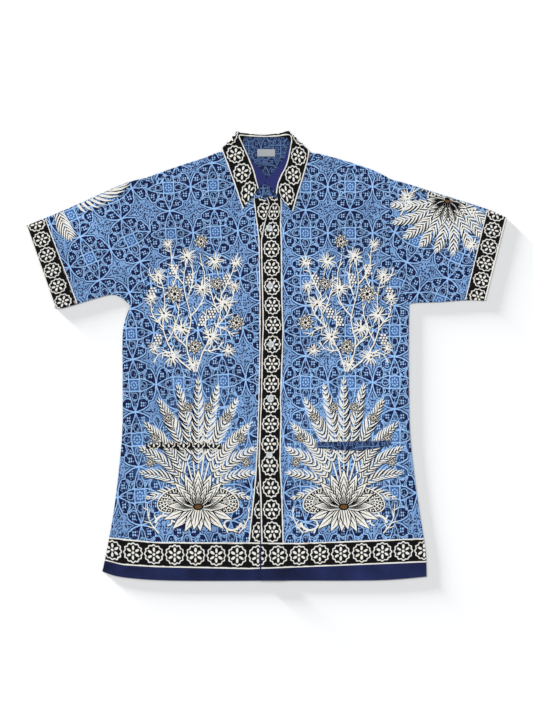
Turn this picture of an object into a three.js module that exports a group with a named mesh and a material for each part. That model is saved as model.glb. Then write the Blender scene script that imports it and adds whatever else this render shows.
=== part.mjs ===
// Short-sleeved batik shirt with a border-print collar, cuffs, placket and hem,
// buttoned up to an open neck and laid flat on its back.
// Millimetres. +X points to the wearer's left, +Y from hem to collar, +Z up off the table.
// "right" and "left" are the wearer's, so right is at -X.

import * as THREE from "three";

// Cloth and the spaces between its layers
const CLOTH = 1.0;
const GAP = 0.3;
const LAYER = CLOTH + GAP;
const SEAM_GAP = 0.4;
const LOFT_LIMIT = 3.4;

// Grid steps of the walls
const SIDE_STEPS = 14;
const ARMHOLE_STEPS = 13;
const NECK_STEPS = 6;
const SHOULDER_COLUMNS = 7;
const FRONT_COLUMNS = 2 * SHOULDER_COLUMNS;
const BACK_NECK_COLUMNS = 8;
const SLEEVE_STEPS = 11;
const FOLD_STEPS = 3;
const COLLAR_ACROSS = 11;
const COLLAR_SUBSTEPS = 2;

// Body
const SHOULDER_DROP = 10; // the back wraps over the shoulder fold down to this seam
const UNDER_FRONT_EDGE = 22; // hidden edge of the right front, below the left one
const UNDER_FRONT_BEND = 60; // where that edge turns in towards the neck
const OVERLAP_RAMP = { start: 27, length: 14 };
const PLACKET_COLUMNS = [0, 18, 38, 56]; // grid lines of the left front near its edge

const sideLevels = [
  { y: 54, right: -277.4, left: 279.4 },
  { y: 124, right: -265.1, left: 268.6 },
  { y: 194, right: -256.4, left: 259.0 },
  { y: 264, right: -250.4, left: 252.2 },
  { y: 360, right: -249.9, left: 250.3 },
  { y: 439, right: -249.0, left: 250.2 },
];

const hemLine = [
  { x: -285.4, y: 17.0 },
  { x: -249.4, y: 7.0 },
  { x: -161.9, y: 1.1 },
  { x: 60.4, y: 1.1 },
  { x: 200.4, y: 1.8 },
  { x: 281.5, y: 8.0 },
];

const body = {
  right: {
    armhole: [
      { x: -236.0, y: 482.0 },
      { x: -216.7, y: 504.0 },
      { x: -206.6, y: 530.0 },
      { x: -201.0, y: 565.0 },
      { x: -200.0, y: 605.0 },
      { x: -203.3, y: 645.0 },
      { x: -210.0, y: 705.0 },
    ],
    shoulder: [
      { x: -210.0, y: 705.0 },
      { x: -149.6, y: 726.6 },
      { x: -105.9, y: 740.6 },
      { x: -84.0, y: 749.5 },
      { x: -66.0, y: 751.0 },
    ],
    cuff: [
      { x: -368.5, y: 478.0 },
      { x: -418.8, y: 621.3 },
    ],
    sleeveTop: [
      { x: -250.4, y: 693.9 },
      { x: -340.0, y: 654.0 },
    ],
    sleeveUnder: [
      { x: -252.2, y: 495.8 },
      { x: -268.8, y: 501.2 },
      { x: -294.9, y: 495.2 },
      { x: -329.2, y: 484.8 },
      { x: -357.9, y: 476.9 },
    ],
  },
  left: {
    armhole: [
      { x: 251.0, y: 484.0 },
      { x: 238.9, y: 512.8 },
      { x: 224.0, y: 547.8 },
      { x: 215.6, y: 589.8 },
      { x: 215.2, y: 621.2 },
      { x: 217.0, y: 651.0 },
      { x: 221.4, y: 702.0 },
    ],
    shoulder: [
      { x: 221.4, y: 702.0 },
      { x: 186.4, y: 719.6 },
      { x: 142.6, y: 734.1 },
      { x: 95.4, y: 747.0 },
      { x: 66.0, y: 750.5 },
    ],
    cuff: [
      { x: 384.5, y: 490.5 },
      { x: 421.4, y: 635.6 },
    ],
    sleeveTop: [
      { x: 251.1, y: 694.0 },
      { x: 298.4, y: 679.0 },
      { x: 388.7, y: 650.3 },
    ],
    sleeveUnder: [
      { x: 262.0, y: 486.8 },
      { x: 305.4, y: 488.2 },
      { x: 350.2, y: 491.4 },
    ],
  },
};

// Front edge of the left front, which lies over the right one, from the hem up
const overEdge = [
  { x: -10.0, y: 1.1 },
  { x: -9.4, y: 100 },
  { x: -12.0, y: 212 },
  { x: -8.6, y: 317 },
  { x: -7.0, y: 413 },
  { x: -7.6, y: 500 },
  { x: -9.0, y: 579 },
  { x: -3.3, y: 622 },
  { x: 5.0, y: 650 },
  { x: 1.9, y: 670 },
];

// Neck edges of the fronts below the collar, from the front edge to the shoulder seam
const neckEdge = {
  right: [
    { x: 18.5, y: 678.0 },
    { x: 9.0, y: 690.0 },
    { x: -3.0, y: 701.0 },
    { x: -28.0, y: 709.0 },
    { x: -47.0, y: 722.0 },
  ],
  left: [
    { x: 1.9, y: 670.0 },
    { x: 10.0, y: 673.0 },
    { x: 21.0, y: 669.5 },
    { x: 34.0, y: 682.0 },
    { x: 50.0, y: 708.0 },
  ],
};

// Neck edge of the back, which stops just short of the collar leaf that lies beneath
const backNeck = [
  { x: -40.0, y: 748.0 },
  { x: -10.0, y: 746.0 },
  { x: 20.0, y: 746.0 },
  { x: 42.0, y: 749.5 },
];

// Collar leaf: one row for each cross-section, from the right point round the neck to the
// left one. The leaf turns under at "fold" and ends beneath at "under"; where those are
// missing it lies on the fronts out to "edge". Levels count the layers below it.
const collarSections = [
  { roll: [-12.1, 687.6], edge: [-39.4, 650.5], rollLevel: 3, edgeLevel: 2 },
  { roll: [-15.5, 700.0], edge: [-47.0, 672.0], rollLevel: 3, edgeLevel: 2 },
  { roll: [-20.0, 717.0], edge: [-55.5, 697.0], rollLevel: 3, edgeLevel: 2 },
  { roll: [-27.0, 735.5], edge: [-64.2, 721.0], rollLevel: 3, edgeLevel: 2 },
  { roll: [-35.5, 755.0], edge: [-71.5, 741.5], rollLevel: 3, edgeLevel: 2.2 },
  { roll: [-41.5, 768.0], edge: [-76.8, 757.0], rollLevel: 3, edgeLevel: 2.4 },
  { roll: [-44.8, 775.5], fold: [-67.5, 767.5], under: [-70.5, 759.5], rollLevel: 2.6 },
  { roll: [-45.0, 778.5], fold: [-58.5, 777.3], under: [-58.0, 757.0], rollLevel: 2.2 },
  { roll: [-42.5, 779.3], fold: [-49.9, 786.6], under: [-46.0, 753.0], rollLevel: 1.6 },
  { roll: [-33.0, 778.3], fold: [-33.0, 783.4], under: [-33.0, 750.0], rollLevel: 1 },
  { roll: [-8.0, 777.0], fold: [-8.0, 781.6], under: [-8.0, 747.0], rollLevel: 1 },
  { roll: [18.0, 777.4], fold: [18.0, 782.8], under: [18.0, 747.0], rollLevel: 1 },
  { roll: [36.0, 779.8], fold: [39.6, 787.2], under: [38.0, 752.0], rollLevel: 1.6 },
  { roll: [43.0, 779.0], fold: [52.5, 777.6], under: [51.5, 756.0], rollLevel: 2.2 },
  { roll: [44.9, 773.0], fold: [64.5, 766.0], under: [65.5, 758.5], rollLevel: 2.6 },
  { roll: [44.2, 765.5], edge: [75.6, 753.5], rollLevel: 3, edgeLevel: 2.4 },
  { roll: [41.8, 752.0], edge: [74.8, 740.0], rollLevel: 3, edgeLevel: 2.2 },
  { roll: [38.5, 736.0], edge: [70.3, 722.0], rollLevel: 3, edgeLevel: 2 },
  { roll: [33.5, 722.0], edge: [65.3, 704.0], rollLevel: 3.8, edgeLevel: 2 },
  { roll: [26.5, 709.0], edge: [60.0, 687.0], rollLevel: 4.4, edgeLevel: 2 },
  { roll: [21.0, 695.0], edge: [54.3, 668.5], rollLevel: 4.4, edgeLevel: 2.4 },
  { roll: [18.0, 678.3], edge: [48.1, 646.1], rollLevel: 4.2, edgeLevel: 2.5 },
];

// Inside of the collar at the back of the neck, from its roll down to its curved lower edge
const standLevels = [
  { y: 729.5, right: -26.0, left: 38.0 },
  { y: 742.0, right: -32.5, left: 41.5 },
  { y: 757.0, right: -38.5, left: 44.0 },
  { y: 768.0, right: -40.0, left: 43.0 },
  { y: 776.0, right: -37.0, left: 36.0 },
];
const STAND_DIP = 4; // how far the lower edge sags at its middle

// Plain facings inside the neck, from the collar's roll down to where they cross
const facings = {
  right: [
    { inner: [-37.5, 757.0], outer: [-44.5, 765.0], level: 2 },
    { inner: [-24.0, 735.0], outer: [-33.5, 737.0], level: 2 },
    { inner: [-12.5, 724.0], outer: [-26.0, 717.0], level: 2 },
    { inner: [4.0, 702.5], outer: [-13.0, 687.0], level: 2 },
  ],
  left: [
    { inner: [41.6, 767.0], outer: [46.4, 765.0], level: 2 },
    { inner: [40.6, 760.0], outer: [47.0, 757.0], level: 2 },
    { inner: [36.0, 746.0], outer: [42.5, 740.0], level: 2 },
    { inner: [22.0, 724.5], outer: [36.5, 721.0], level: 2.4 },
    { inner: [9.0, 710.0], outer: [28.0, 701.0], level: 3 },
    { inner: [-2.4, 698.0], outer: [21.0, 677.5], level: 3 },
  ],
};

// Welts of the two slit pockets, sampled along X
const pocketWelts = {
  right: [
    { x: -208.8, low: 231.6, high: 242.0 },
    { x: -143.0, low: 231.8, high: 242.0 },
    { x: -77.8, low: 231.0, high: 240.6 },
  ],
  left: [
    { x: 88.5, low: 233.6, high: 243.2 },
    { x: 120.0, low: 230.0, high: 243.8 },
    { x: 153.0, low: 228.7, high: 244.6 },
    { x: 190.0, low: 232.0, high: 245.6 },
    { x: 219.0, low: 238.6, high: 246.0 },
  ],
};

// Buttons: 18-line, four holes, at their places down the placket
const BUTTON = { diameter: 11.4, thickness: 2.2, holeDiameter: 1.7, holeSpread: 1.5 };
const buttonPlaces = [
  { x: 6.7, y: 616.9 },
  { x: 8.2, y: 515.9 },
  { x: 9.6, y: 413.9 },
  { x: 8.6, y: 318.5 },
  { x: 6.7, y: 220.5 },
];

const LABEL = { x: 1.2, y: 748.8, width: 31, height: 12.6 };

// Air under the top layer: broad swells, as ellipses
const swells = [
  { x: 0, y: 300, radiusX: 232, radiusY: 275, height: 1.5 },
  { x: -118, y: 600, radiusX: 78, radiusY: 95, height: 1.0 },
  { x: 118, y: 600, radiusX: 88, radiusY: 95, height: 0.9 },
  { x: -305, y: 588, radiusX: 92, radiusY: 62, height: 1.5 },
  { x: 315, y: 586, radiusX: 84, radiusY: 68, height: 1.4 },
];

// The largest folds, as ridges that rise and fade along a line
const folds = [
  { x1: -240, y1: 484, x2: -192, y2: 548, height: 2.2, width: 9 }, // right armpit, up the chest
  { x1: -240, y1: 478, x2: -172, y2: 500, height: 2.0, width: 8 },
  { x1: -232, y1: 474, x2: -222, y2: 420, height: 1.6, width: 8 },
  { x1: -246, y1: 490, x2: -268, y2: 560, height: 1.5, width: 10 }, // right sleeve
  { x1: 252, y1: 488, x2: 208, y2: 540, height: 1.8, width: 9 }, // left armpit
  { x1: 250, y1: 480, x2: 196, y2: 506, height: 1.6, width: 8 },
  { x1: 262, y1: 500, x2: 292, y2: 566, height: 1.4, width: 10 }, // left sleeve
  { x1: 60, y1: 664, x2: 74, y2: 606, height: 1.6, width: 7 }, // below the collar's left point
  { x1: -80, y1: 728, x2: -62, y2: 660, height: 1.2, width: 7 }, // beside the collar
  { x1: -196, y1: 40, x2: -176, y2: 330, height: 1.0, width: 26 }, // flare of the lower sides
  { x1: 196, y1: 40, x2: 186, y2: 320, height: 1.0, width: 26 },
  { x1: -30, y1: 180, x2: -34, y2: 330, height: 0.8, width: 12 }, // ripples by the placket
  { x1: 52, y1: 150, x2: 56, y2: 300, height: 0.8, width: 12 },
];

const colours = {
  lattice: 0x5a78a2,
  border: 0x1d1b20,
  navy: 0x2b3864,
  pearl: 0xb7bdc0,
  label: 0xa8aaad,
};

const toVector = ({ x, y }) => new THREE.Vector2(x, y);
const mix = THREE.MathUtils.lerp;
const smooth = (t) => THREE.MathUtils.smoothstep(t, 0, 1);

// Evenly spaced points of a smooth curve through the given ones
function spaced(points, steps) {
  const curve = new THREE.SplineCurve(points);
  return Array.from({ length: steps + 1 }, (_, i) => curve.getPointAt(i / steps));
}

function heightOfSwell({ x, y, radiusX, radiusY, height }, p) {
  const reach = ((p.x - x) / radiusX) ** 2 + ((p.y - y) / radiusY) ** 2;
  return reach < 1 ? height * (1 - reach) ** 2 : 0;
}

function heightOfFold({ x1, y1, x2, y2, height, width }, p) {
  const start = new THREE.Vector2(x1, y1);
  const run = new THREE.Vector2(x2, y2).sub(start);
  const along = p.clone().sub(start).dot(run) / run.lengthSq();
  if (along < 0 || along > 1) return 0;
  const away = p.distanceTo(start.addScaledVector(run, along)) / width;
  return away < 1 ? height * Math.sin(Math.PI * along) ** 0.7 * (1 - away * away) ** 2 : 0;
}

// Height of the air between the back and the layers that lie on it
function loft(p) {
  const swell = swells.reduce((sum, row) => sum + heightOfSwell(row, p), 0);
  const fold = folds.reduce((sum, row) => sum + heightOfFold(row, p), 0);
  return Math.min(swell + fold, LOFT_LIMIT);
}

// The left front steps up where it lies on the right one
function overlapRise(x) {
  return LAYER * (1 - smooth((x - OVERLAP_RAMP.start) / OVERLAP_RAMP.length));
}

// Four edges of matching point counts, filled in between them: grid[column][row]
function fill(bottom, top, rightSide, leftSide) {
  const columns = bottom.length - 1;
  const rows = rightSide.length - 1;
  const [a, b, c, d] = [bottom[0], bottom[columns], top[0], top[columns]];
  return bottom.map((low, i) =>
    rightSide.map((near, j) => {
      const u = (low.x - a.x) / (b.x - a.x);
      const v = j / rows;
      const blend = (axis) =>
        mix(near[axis], leftSide[j][axis], u) +
        mix(low[axis], top[i][axis], v) -
        mix(mix(a[axis], b[axis], u), mix(c[axis], d[axis], u), v);
      return new THREE.Vector2(blend("x"), blend("y"));
    }),
  );
}

// A closed wall between two grids of points, with a rim round every kept cell's free side
function wall(outer, inner, { round = false, keep = () => true } = {}) {
  const columns = outer.length;
  const rows = outer[0].length;
  const positions = [outer, inner].flat(2).flatMap((p) => [p.x, p.y, p.z]);
  const skin = (i, j) => i * rows + (j % rows);
  const lining = (i, j) => columns * rows + skin(i, j);
  const index = [];
  const quad = (p, q, r, s) => index.push(p, q, r, p, r, s);
  const rowCells = round ? rows : rows - 1;
  const kept = (i, j) => {
    const row = round ? (j + rows) % rows : j;
    return i >= 0 && i < columns - 1 && row >= 0 && row < rowCells && keep(i, row);
  };
  for (let i = 0; i < columns - 1; i++) {
    for (let j = 0; j < rowCells; j++) {
      if (!kept(i, j)) continue;
      quad(skin(i, j), skin(i + 1, j), skin(i + 1, j + 1), skin(i, j + 1));
      quad(lining(i, j), lining(i, j + 1), lining(i + 1, j + 1), lining(i + 1, j));
      const rim = (i1, j1, i2, j2) =>
        quad(skin(i1, j1), lining(i1, j1), lining(i2, j2), skin(i2, j2));
      if (!kept(i, j - 1)) rim(i, j, i + 1, j);
      if (!kept(i + 1, j)) rim(i + 1, j, i + 1, j + 1);
      if (!kept(i, j + 1)) rim(i + 1, j + 1, i, j + 1);
      if (!kept(i - 1, j)) rim(i, j + 1, i, j);
    }
  }
  const geometry = new THREE.BufferGeometry();
  geometry.setAttribute("position", new THREE.Float32BufferAttribute(positions, 3));
  geometry.setIndex(volumeOf(positions, index) < 0 ? index.reverse() : index);
  geometry.computeVertexNormals();
  return geometry;
}

// Signed volume inside the triangles, negative when they face inwards
function volumeOf(positions, index) {
  const corner = (k) => new THREE.Vector3().fromArray(positions, 3 * index[k]);
  let volume = 0;
  for (let k = 0; k < index.length; k += 3) {
    volume += corner(k).dot(corner(k + 1).cross(corner(k + 2))) / 6;
  }
  return volume;
}

// One layer of cloth on a flat grid, its lower face at the height given for each point
function layer(grid, lowerFace) {
  const lift = (extra) =>
    grid.map((line) => line.map((p) => new THREE.Vector3(p.x, p.y, lowerFace(p) + extra)));
  return wall(lift(CLOTH), lift(0));
}

// A fold seen in section: the skin and lining of cloth that turns over at a plan point.
// It runs from the underside at "centre" round to the upper side, towards "out".
function foldSection(centre, out, height) {
  const arc = (radius) =>
    Array.from({ length: FOLD_STEPS }, (_, k) => {
      const turn = Math.PI * ((k + 1) / (FOLD_STEPS + 1) - 0.5);
      const reach = radius * Math.cos(turn);
      const z = height / 2 + radius * Math.sin(turn);
      return new THREE.Vector3(centre.x + out.x * reach, centre.y + out.y * reach, z);
    });
  return { skin: arc(height / 2), lining: arc(height / 2 - CLOTH) };
}

const topOfFold = (p) => LAYER + CLOTH + loft(p);
const at = (p, z) => new THREE.Vector3(p.x, p.y, z);

// Armhole points from underarm to shoulder seam, then the shoulder fold's own point
function armholeOf(side) {
  const points = body[side].armhole.map(toVector);
  const top = points.pop();
  const up = upOf(side);
  points.push(top.clone().addScaledVector(up, -SHOULDER_DROP));
  return [...spaced(points, ARMHOLE_STEPS), top];
}

// Direction of the armhole where it meets the shoulder fold
function upOf(side) {
  const [before, top] = body[side].armhole.slice(-2).map(toVector);
  return top.sub(before).normalize();
}

const shoulderFold = (side, steps) => spaced(body[side].shoulder.map(toVector), steps);

function shoulderSeam(side, steps, drop) {
  const up = upOf(side);
  return shoulderFold(side, steps).map((p) => p.addScaledVector(up, -drop));
}

// Side seam and armhole of a body panel as one edge, ending "short" of the shoulder seam
function outerEdge(side, short) {
  const corner = side === "right" ? hemLine[0] : hemLine.at(-1);
  const armhole = armholeOf(side).slice(0, -1);
  const levels = sideLevels.map((row) => new THREE.Vector2(row[side], row.y));
  const seam = spaced([toVector(corner), ...levels, armhole[0]], SIDE_STEPS);
  armhole.at(-1).addScaledVector(upOf(side), -short);
  return [...seam, ...armhole.slice(1)];
}

// Front edge and neck edge of a front as one edge, with as many rows as the outer one
function innerEdge(frontEdge, neck) {
  const rows = SIDE_STEPS + ARMHOLE_STEPS - NECK_STEPS;
  return [...spaced(frontEdge, rows), ...spaced(neck, NECK_STEPS).slice(1)];
}

function hemBetween(start, end, steps) {
  const between = hemLine.filter(({ x }) => x > start.x + 1 && x < end.x - 1).map(toVector);
  return spaced([start, ...between, end], steps);
}

// The points and the middles between them
function halved(points) {
  const pairs = points.slice(1).map((p, i) => [points[i].clone().lerp(p, 0.5), p]);
  return [points[0], ...pairs.flat()];
}

function frontOf(side) {
  const corner = toVector(side === "right" ? hemLine[0] : hemLine.at(-1));
  const seam = halved(shoulderSeam(side, SHOULDER_COLUMNS, SHOULDER_DROP + SEAM_GAP));
  const outer = outerEdge(side, SEAM_GAP);
  const neck = [...neckEdge[side].map(toVector), seam.at(-1)];
  if (side === "right") {
    const foot = new THREE.Vector2(UNDER_FRONT_EDGE, hemLine[2].y);
    const bend = new THREE.Vector2(UNDER_FRONT_EDGE, neck[0].y - UNDER_FRONT_BEND);
    const inner = innerEdge([foot, bend, neck[0]], neck);
    const grid = fill(hemBetween(corner, foot, FRONT_COLUMNS), seam, outer, inner);
    return layer(grid, (p) => LAYER + loft(p));
  }
  const edge = overEdge.map(toVector);
  const inner = innerEdge(edge, neck);
  const placket = PLACKET_COLUMNS.map((x) => new THREE.Vector2(edge[0].x + x, edge[0].y));
  const rest = hemBetween(placket.pop(), corner, FRONT_COLUMNS - placket.length);
  const grid = fill([...placket, ...rest], seam.reverse(), inner, outer);
  return layer(grid, (p) => LAYER + loft(p) + overlapRise(p.x));
}

// The back lies on the table and wraps over each shoulder fold to the seam on the front
function back() {
  const seams = {
    right: shoulderSeam("right", SHOULDER_COLUMNS, SHOULDER_DROP),
    left: shoulderSeam("left", SHOULDER_COLUMNS, SHOULDER_DROP).reverse(),
  };
  const neckPoints = [seams.right.at(-1), ...backNeck.map(toVector), seams.left[0]];
  const neck = spaced(neckPoints, BACK_NECK_COLUMNS);
  const top = [...seams.right, ...neck.slice(1, -1), ...seams.left];
  const columns = top.length - 1;
  const hem = spaced(hemLine.map(toVector), columns);
  const grid = fill(hem, top, outerEdge("right", 0), outerEdge("left", 0));

  const edges = [
    ...shoulderFold("right", SHOULDER_COLUMNS),
    ...neck.slice(1, -1),
    ...shoulderFold("left", SHOULDER_COLUMNS).reverse(),
  ];
  const lastShoulder = SHOULDER_COLUMNS;
  const nextShoulder = columns - SHOULDER_COLUMNS;
  const flatRows = grid[0].length;
  const lines = grid.map((line, i) => {
    const up = upOf(i < columns / 2 ? "right" : "left");
    const height = topOfFold(edges[i]);
    const centre = edges[i].clone().addScaledVector(up, -height / 2);
    const turn = foldSection(centre, up, height);
    const seamPoint = line.at(-1);
    return {
      skin: [
        ...line.map((p) => at(p, 0)),
        at(centre, 0),
        ...turn.skin,
        at(centre, height),
        at(seamPoint, topOfFold(seamPoint)),
      ],
      lining: [
        ...line.map((p) => at(p, CLOTH)),
        at(centre, CLOTH),
        ...turn.lining,
        at(centre, height - CLOTH),
        at(seamPoint, topOfFold(seamPoint) - CLOTH),
      ],
    };
  });
  const keep = (i, j) => j < flatRows - 1 || i < lastShoulder || i >= nextShoulder;
  return wall(
    lines.map((line) => line.skin),
    lines.map((line) => line.lining),
    { keep },
  );
}

// Points moved sideways from a line, to the right of its direction when the distance is positive
function shifted(points, distance) {
  return points.map((p, i) => {
    const run = points[Math.min(i + 1, points.length - 1)].clone();
    run.sub(points[Math.max(i - 1, 0)]).normalize();
    return new THREE.Vector2(p.x + run.y * distance, p.y - run.x * distance);
  });
}

// A sleeve is a tube pressed flat, folded along its top and underarm edges
function sleeveOf(side) {
  const away = side === "right" ? -SEAM_GAP : SEAM_GAP;
  const armhole = shifted(armholeOf(side), away);
  const cuff = spaced(body[side].cuff.map(toVector), armhole.length - 1);
  const under = [armhole[0], ...body[side].sleeveUnder.map(toVector), cuff[0]];
  const top = [armhole.at(-1), ...body[side].sleeveTop.map(toVector), cuff.at(-1)];
  const grid = fill(spaced(under, SLEEVE_STEPS), spaced(top, SLEEVE_STEPS), armhole, cuff);
  const rings = grid.map(sleeveRing);
  return wall(
    rings.map((ring) => ring.skin),
    rings.map((ring) => ring.lining),
    { round: true },
  );
}

function sleeveRing(line) {
  const ends = [
    { edge: line[0], next: line[1] },
    { edge: line.at(-1), next: line.at(-2) },
  ].map(({ edge, next }) => {
    const out = edge.clone().sub(next).normalize();
    const height = topOfFold(edge);
    const centre = edge.clone().addScaledVector(out, -height / 2);
    return { centre, turn: foldSection(centre, out, height) };
  });
  const [underarm, top] = ends;
  const flat = [underarm.centre, ...line.slice(1, -1), top.centre];
  const upper = [...flat].reverse();
  return {
    skin: [
      ...flat.map((p) => at(p, 0)),
      ...top.turn.skin,
      ...upper.map((p) => at(p, topOfFold(p))),
      ...underarm.turn.skin.reverse(),
    ],
    lining: [
      ...flat.map((p) => at(p, CLOTH)),
      ...top.turn.lining,
      ...upper.map((p) => at(p, topOfFold(p) - CLOTH)),
      ...underarm.turn.lining.reverse(),
    ],
  };
}

// Skin and lining of the collar at one section, as points evenly spaced round its bend
function collarSection({ roll, edge, fold, under, rollLevel, edgeLevel = rollLevel }) {
  const start = new THREE.Vector2(...roll);
  const lowerFace = (p, share) => mix(rollLevel, edgeLevel, share) * LAYER + loft(p);
  if (edge) {
    const end = new THREE.Vector2(...edge);
    const across = Array.from({ length: COLLAR_ACROSS + 1 }, (_, j) => j / COLLAR_ACROSS);
    const plan = across.map((share) => start.clone().lerp(end, share));
    return {
      skin: plan.map((p, j) => at(p, lowerFace(p, across[j]) + CLOTH)),
      lining: plan.map((p, j) => at(p, lowerFace(p, across[j]))),
    };
  }
  const turnPoint = new THREE.Vector2(...fold);
  const end = new THREE.Vector2(...under);
  const out = turnPoint.clone().sub(start).normalize();
  out.add(turnPoint.clone().sub(end).normalize()).normalize();
  const height = rollLevel * LAYER + CLOTH;
  const centre = turnPoint.clone().addScaledVector(out, -height / 2);
  return {
    skin: bentLine(start, centre, end, out, height, height / 2),
    lining: bentLine(start, centre, end, out, height, height / 2 - CLOTH),
  };
}

// One face of a strip that runs from start to centre, turns under and runs back to end
function bentLine(start, centre, end, out, height, radius) {
  const upperRun = centre.distanceTo(start);
  const bend = Math.PI * (height / 2 - CLOTH / 2);
  const lowerRun = centre.distanceTo(end);
  const total = upperRun + bend + lowerRun;
  return Array.from({ length: COLLAR_ACROSS + 1 }, (_, j) => {
    const s = (total * j) / COLLAR_ACROSS;
    if (s < upperRun) {
      return at(start.clone().lerp(centre, s / upperRun), height / 2 + radius);
    }
    if (s > upperRun + bend) {
      return at(centre.clone().lerp(end, (s - upperRun - bend) / lowerRun), height / 2 - radius);
    }
    const turn = Math.PI * (0.5 - (s - upperRun) / bend);
    const p = centre.clone().addScaledVector(out, radius * Math.cos(turn));
    return at(p, height / 2 + radius * Math.sin(turn));
  });
}

// Rows of points with smooth in-between rows added, none of them below the lowest height
function refined(rows, substeps, lowest) {
  const steps = (rows.length - 1) * substeps;
  const lines = rows[0].map((_, j) => {
    const line = new THREE.CatmullRomCurve3(rows.map((row) => row[j]));
    return Array.from({ length: steps + 1 }, (_, i) => {
      const p = line.getPoint(i / steps);
      return at(p, Math.max(p.z, lowest));
    });
  });
  return Array.from({ length: steps + 1 }, (_, i) => lines.map((line) => line[i]));
}

function collarLeaf() {
  const sections = collarSections.map(collarSection);
  return wall(
    refined(sections.map((section) => section.skin), COLLAR_SUBSTEPS, 0),
    refined(sections.map((section) => section.lining), COLLAR_SUBSTEPS, CLOTH),
  );
}

function collarStand() {
  const columns = 8;
  const rows = 6;
  const edgePoints = (side) => standLevels.map((row) => new THREE.Vector2(row[side], row.y));
  const [right, left] = [edgePoints("right"), edgePoints("left")];
  const middle = new THREE.Vector2((right[0].x + left[0].x) / 2, right[0].y - STAND_DIP);
  const bottom = spaced([right[0], middle, left[0]], columns);
  const top = spaced([right.at(-1), left.at(-1)], columns);
  return layer(fill(bottom, top, spaced(right, rows), spaced(left, rows)), () => LAYER);
}

function facingOf(side) {
  const steps = 3;
  const substeps = 2;
  const rows = facings[side].map(({ inner, outer, level }) => {
    const [a, b] = [new THREE.Vector2(...inner), new THREE.Vector2(...outer)];
    return Array.from({ length: steps + 1 }, (_, j) => at(a.clone().lerp(b, j / steps), level));
  });
  const grid = refined(rows, substeps, 2);
  const lift = (extra) =>
    grid.map((line) => line.map((p) => new THREE.Vector3(p.x, p.y, p.z * LAYER + extra)));
  return wall(lift(CLOTH), lift(0));
}

function pocketWeltOf(side) {
  const columns = 10;
  const rows = 2;
  const table = pocketWelts[side];
  const low = spaced(table.map(({ x, low: y }) => new THREE.Vector2(x, y)), columns);
  const high = spaced(table.map(({ x, high: y }) => new THREE.Vector2(x, y)), columns);
  const grid = low.map((p, i) =>
    Array.from({ length: rows + 1 }, (_, j) => p.clone().lerp(high[i], j / rows)),
  );
  return layer(grid, (p) => 2 * LAYER + loft(p));
}

function circle(x, y, radius, sides) {
  return Array.from({ length: sides }, (_, k) => {
    const turn = (k / sides) * 2 * Math.PI;
    return new THREE.Vector2(x + radius * Math.cos(turn), y + radius * Math.sin(turn));
  });
}

function button({ x, y }) {
  const radius = BUTTON.diameter / 2;
  const spread = BUTTON.holeSpread;
  const disc = new THREE.Shape(circle(0, 0, radius, 24));
  disc.holes = [[1, 1], [-1, 1], [-1, -1], [1, -1]].map(
    ([signX, signY]) =>
      new THREE.Path(circle(signX * spread, signY * spread, BUTTON.holeDiameter / 2, 6)),
  );
  const geometry = new THREE.ExtrudeGeometry(disc, {
    depth: BUTTON.thickness,
    bevelEnabled: false,
  });
  const highest = Math.max(...circle(x, y, radius, 12).map(loft));
  geometry.translate(x, y, 3 * LAYER + highest);
  return geometry;
}

function neckLabel() {
  const geometry = new THREE.BoxGeometry(LABEL.width, LABEL.height, CLOTH);
  geometry.translate(LABEL.x, LABEL.y, 2 * LAYER + CLOTH / 2);
  return geometry;
}

const garment = new THREE.Group();

function add(name, geometry, colour, roughness = 0.9) {
  const material = new THREE.MeshStandardMaterial({ color: colour, roughness, metalness: 0 });
  const mesh = new THREE.Mesh(geometry, material);
  mesh.name = name;
  garment.add(mesh);
}

add("back", back(), colours.lattice);
for (const side of ["right", "left"]) {
  add(`front_${side}`, frontOf(side), colours.lattice);
  add(`sleeve_${side}`, sleeveOf(side), colours.lattice);
  add(`facing_${side}`, facingOf(side), colours.navy);
  add(`pocket_welt_${side}`, pocketWeltOf(side), colours.border);
}
add("collar_leaf", collarLeaf(), colours.border);
add("collar_stand", collarStand(), colours.lattice);
add("neck_label", neckLabel(), colours.label);
buttonPlaces.forEach((place, k) => add(`button_${k + 1}`, button(place), colours.pearl, 0.25));

// The origin is under the middle of the whole shirt, on the table
const box = new THREE.Box3().setFromObject(garment);
const middle = box.getCenter(new THREE.Vector3());
garment.position.set(-middle.x, -middle.y, -box.min.z);

const shirt = new THREE.Group();
shirt.add(garment);

export default shirt;
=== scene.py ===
# A short-sleeved batik shirt with a rosette border, buttoned and laid flat on its back.
# The tables are in millimetres on the shirt: x runs to the wearer's left from the middle,
# y from the hem up to the collar and z up off the floor.
import math
import random

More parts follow.
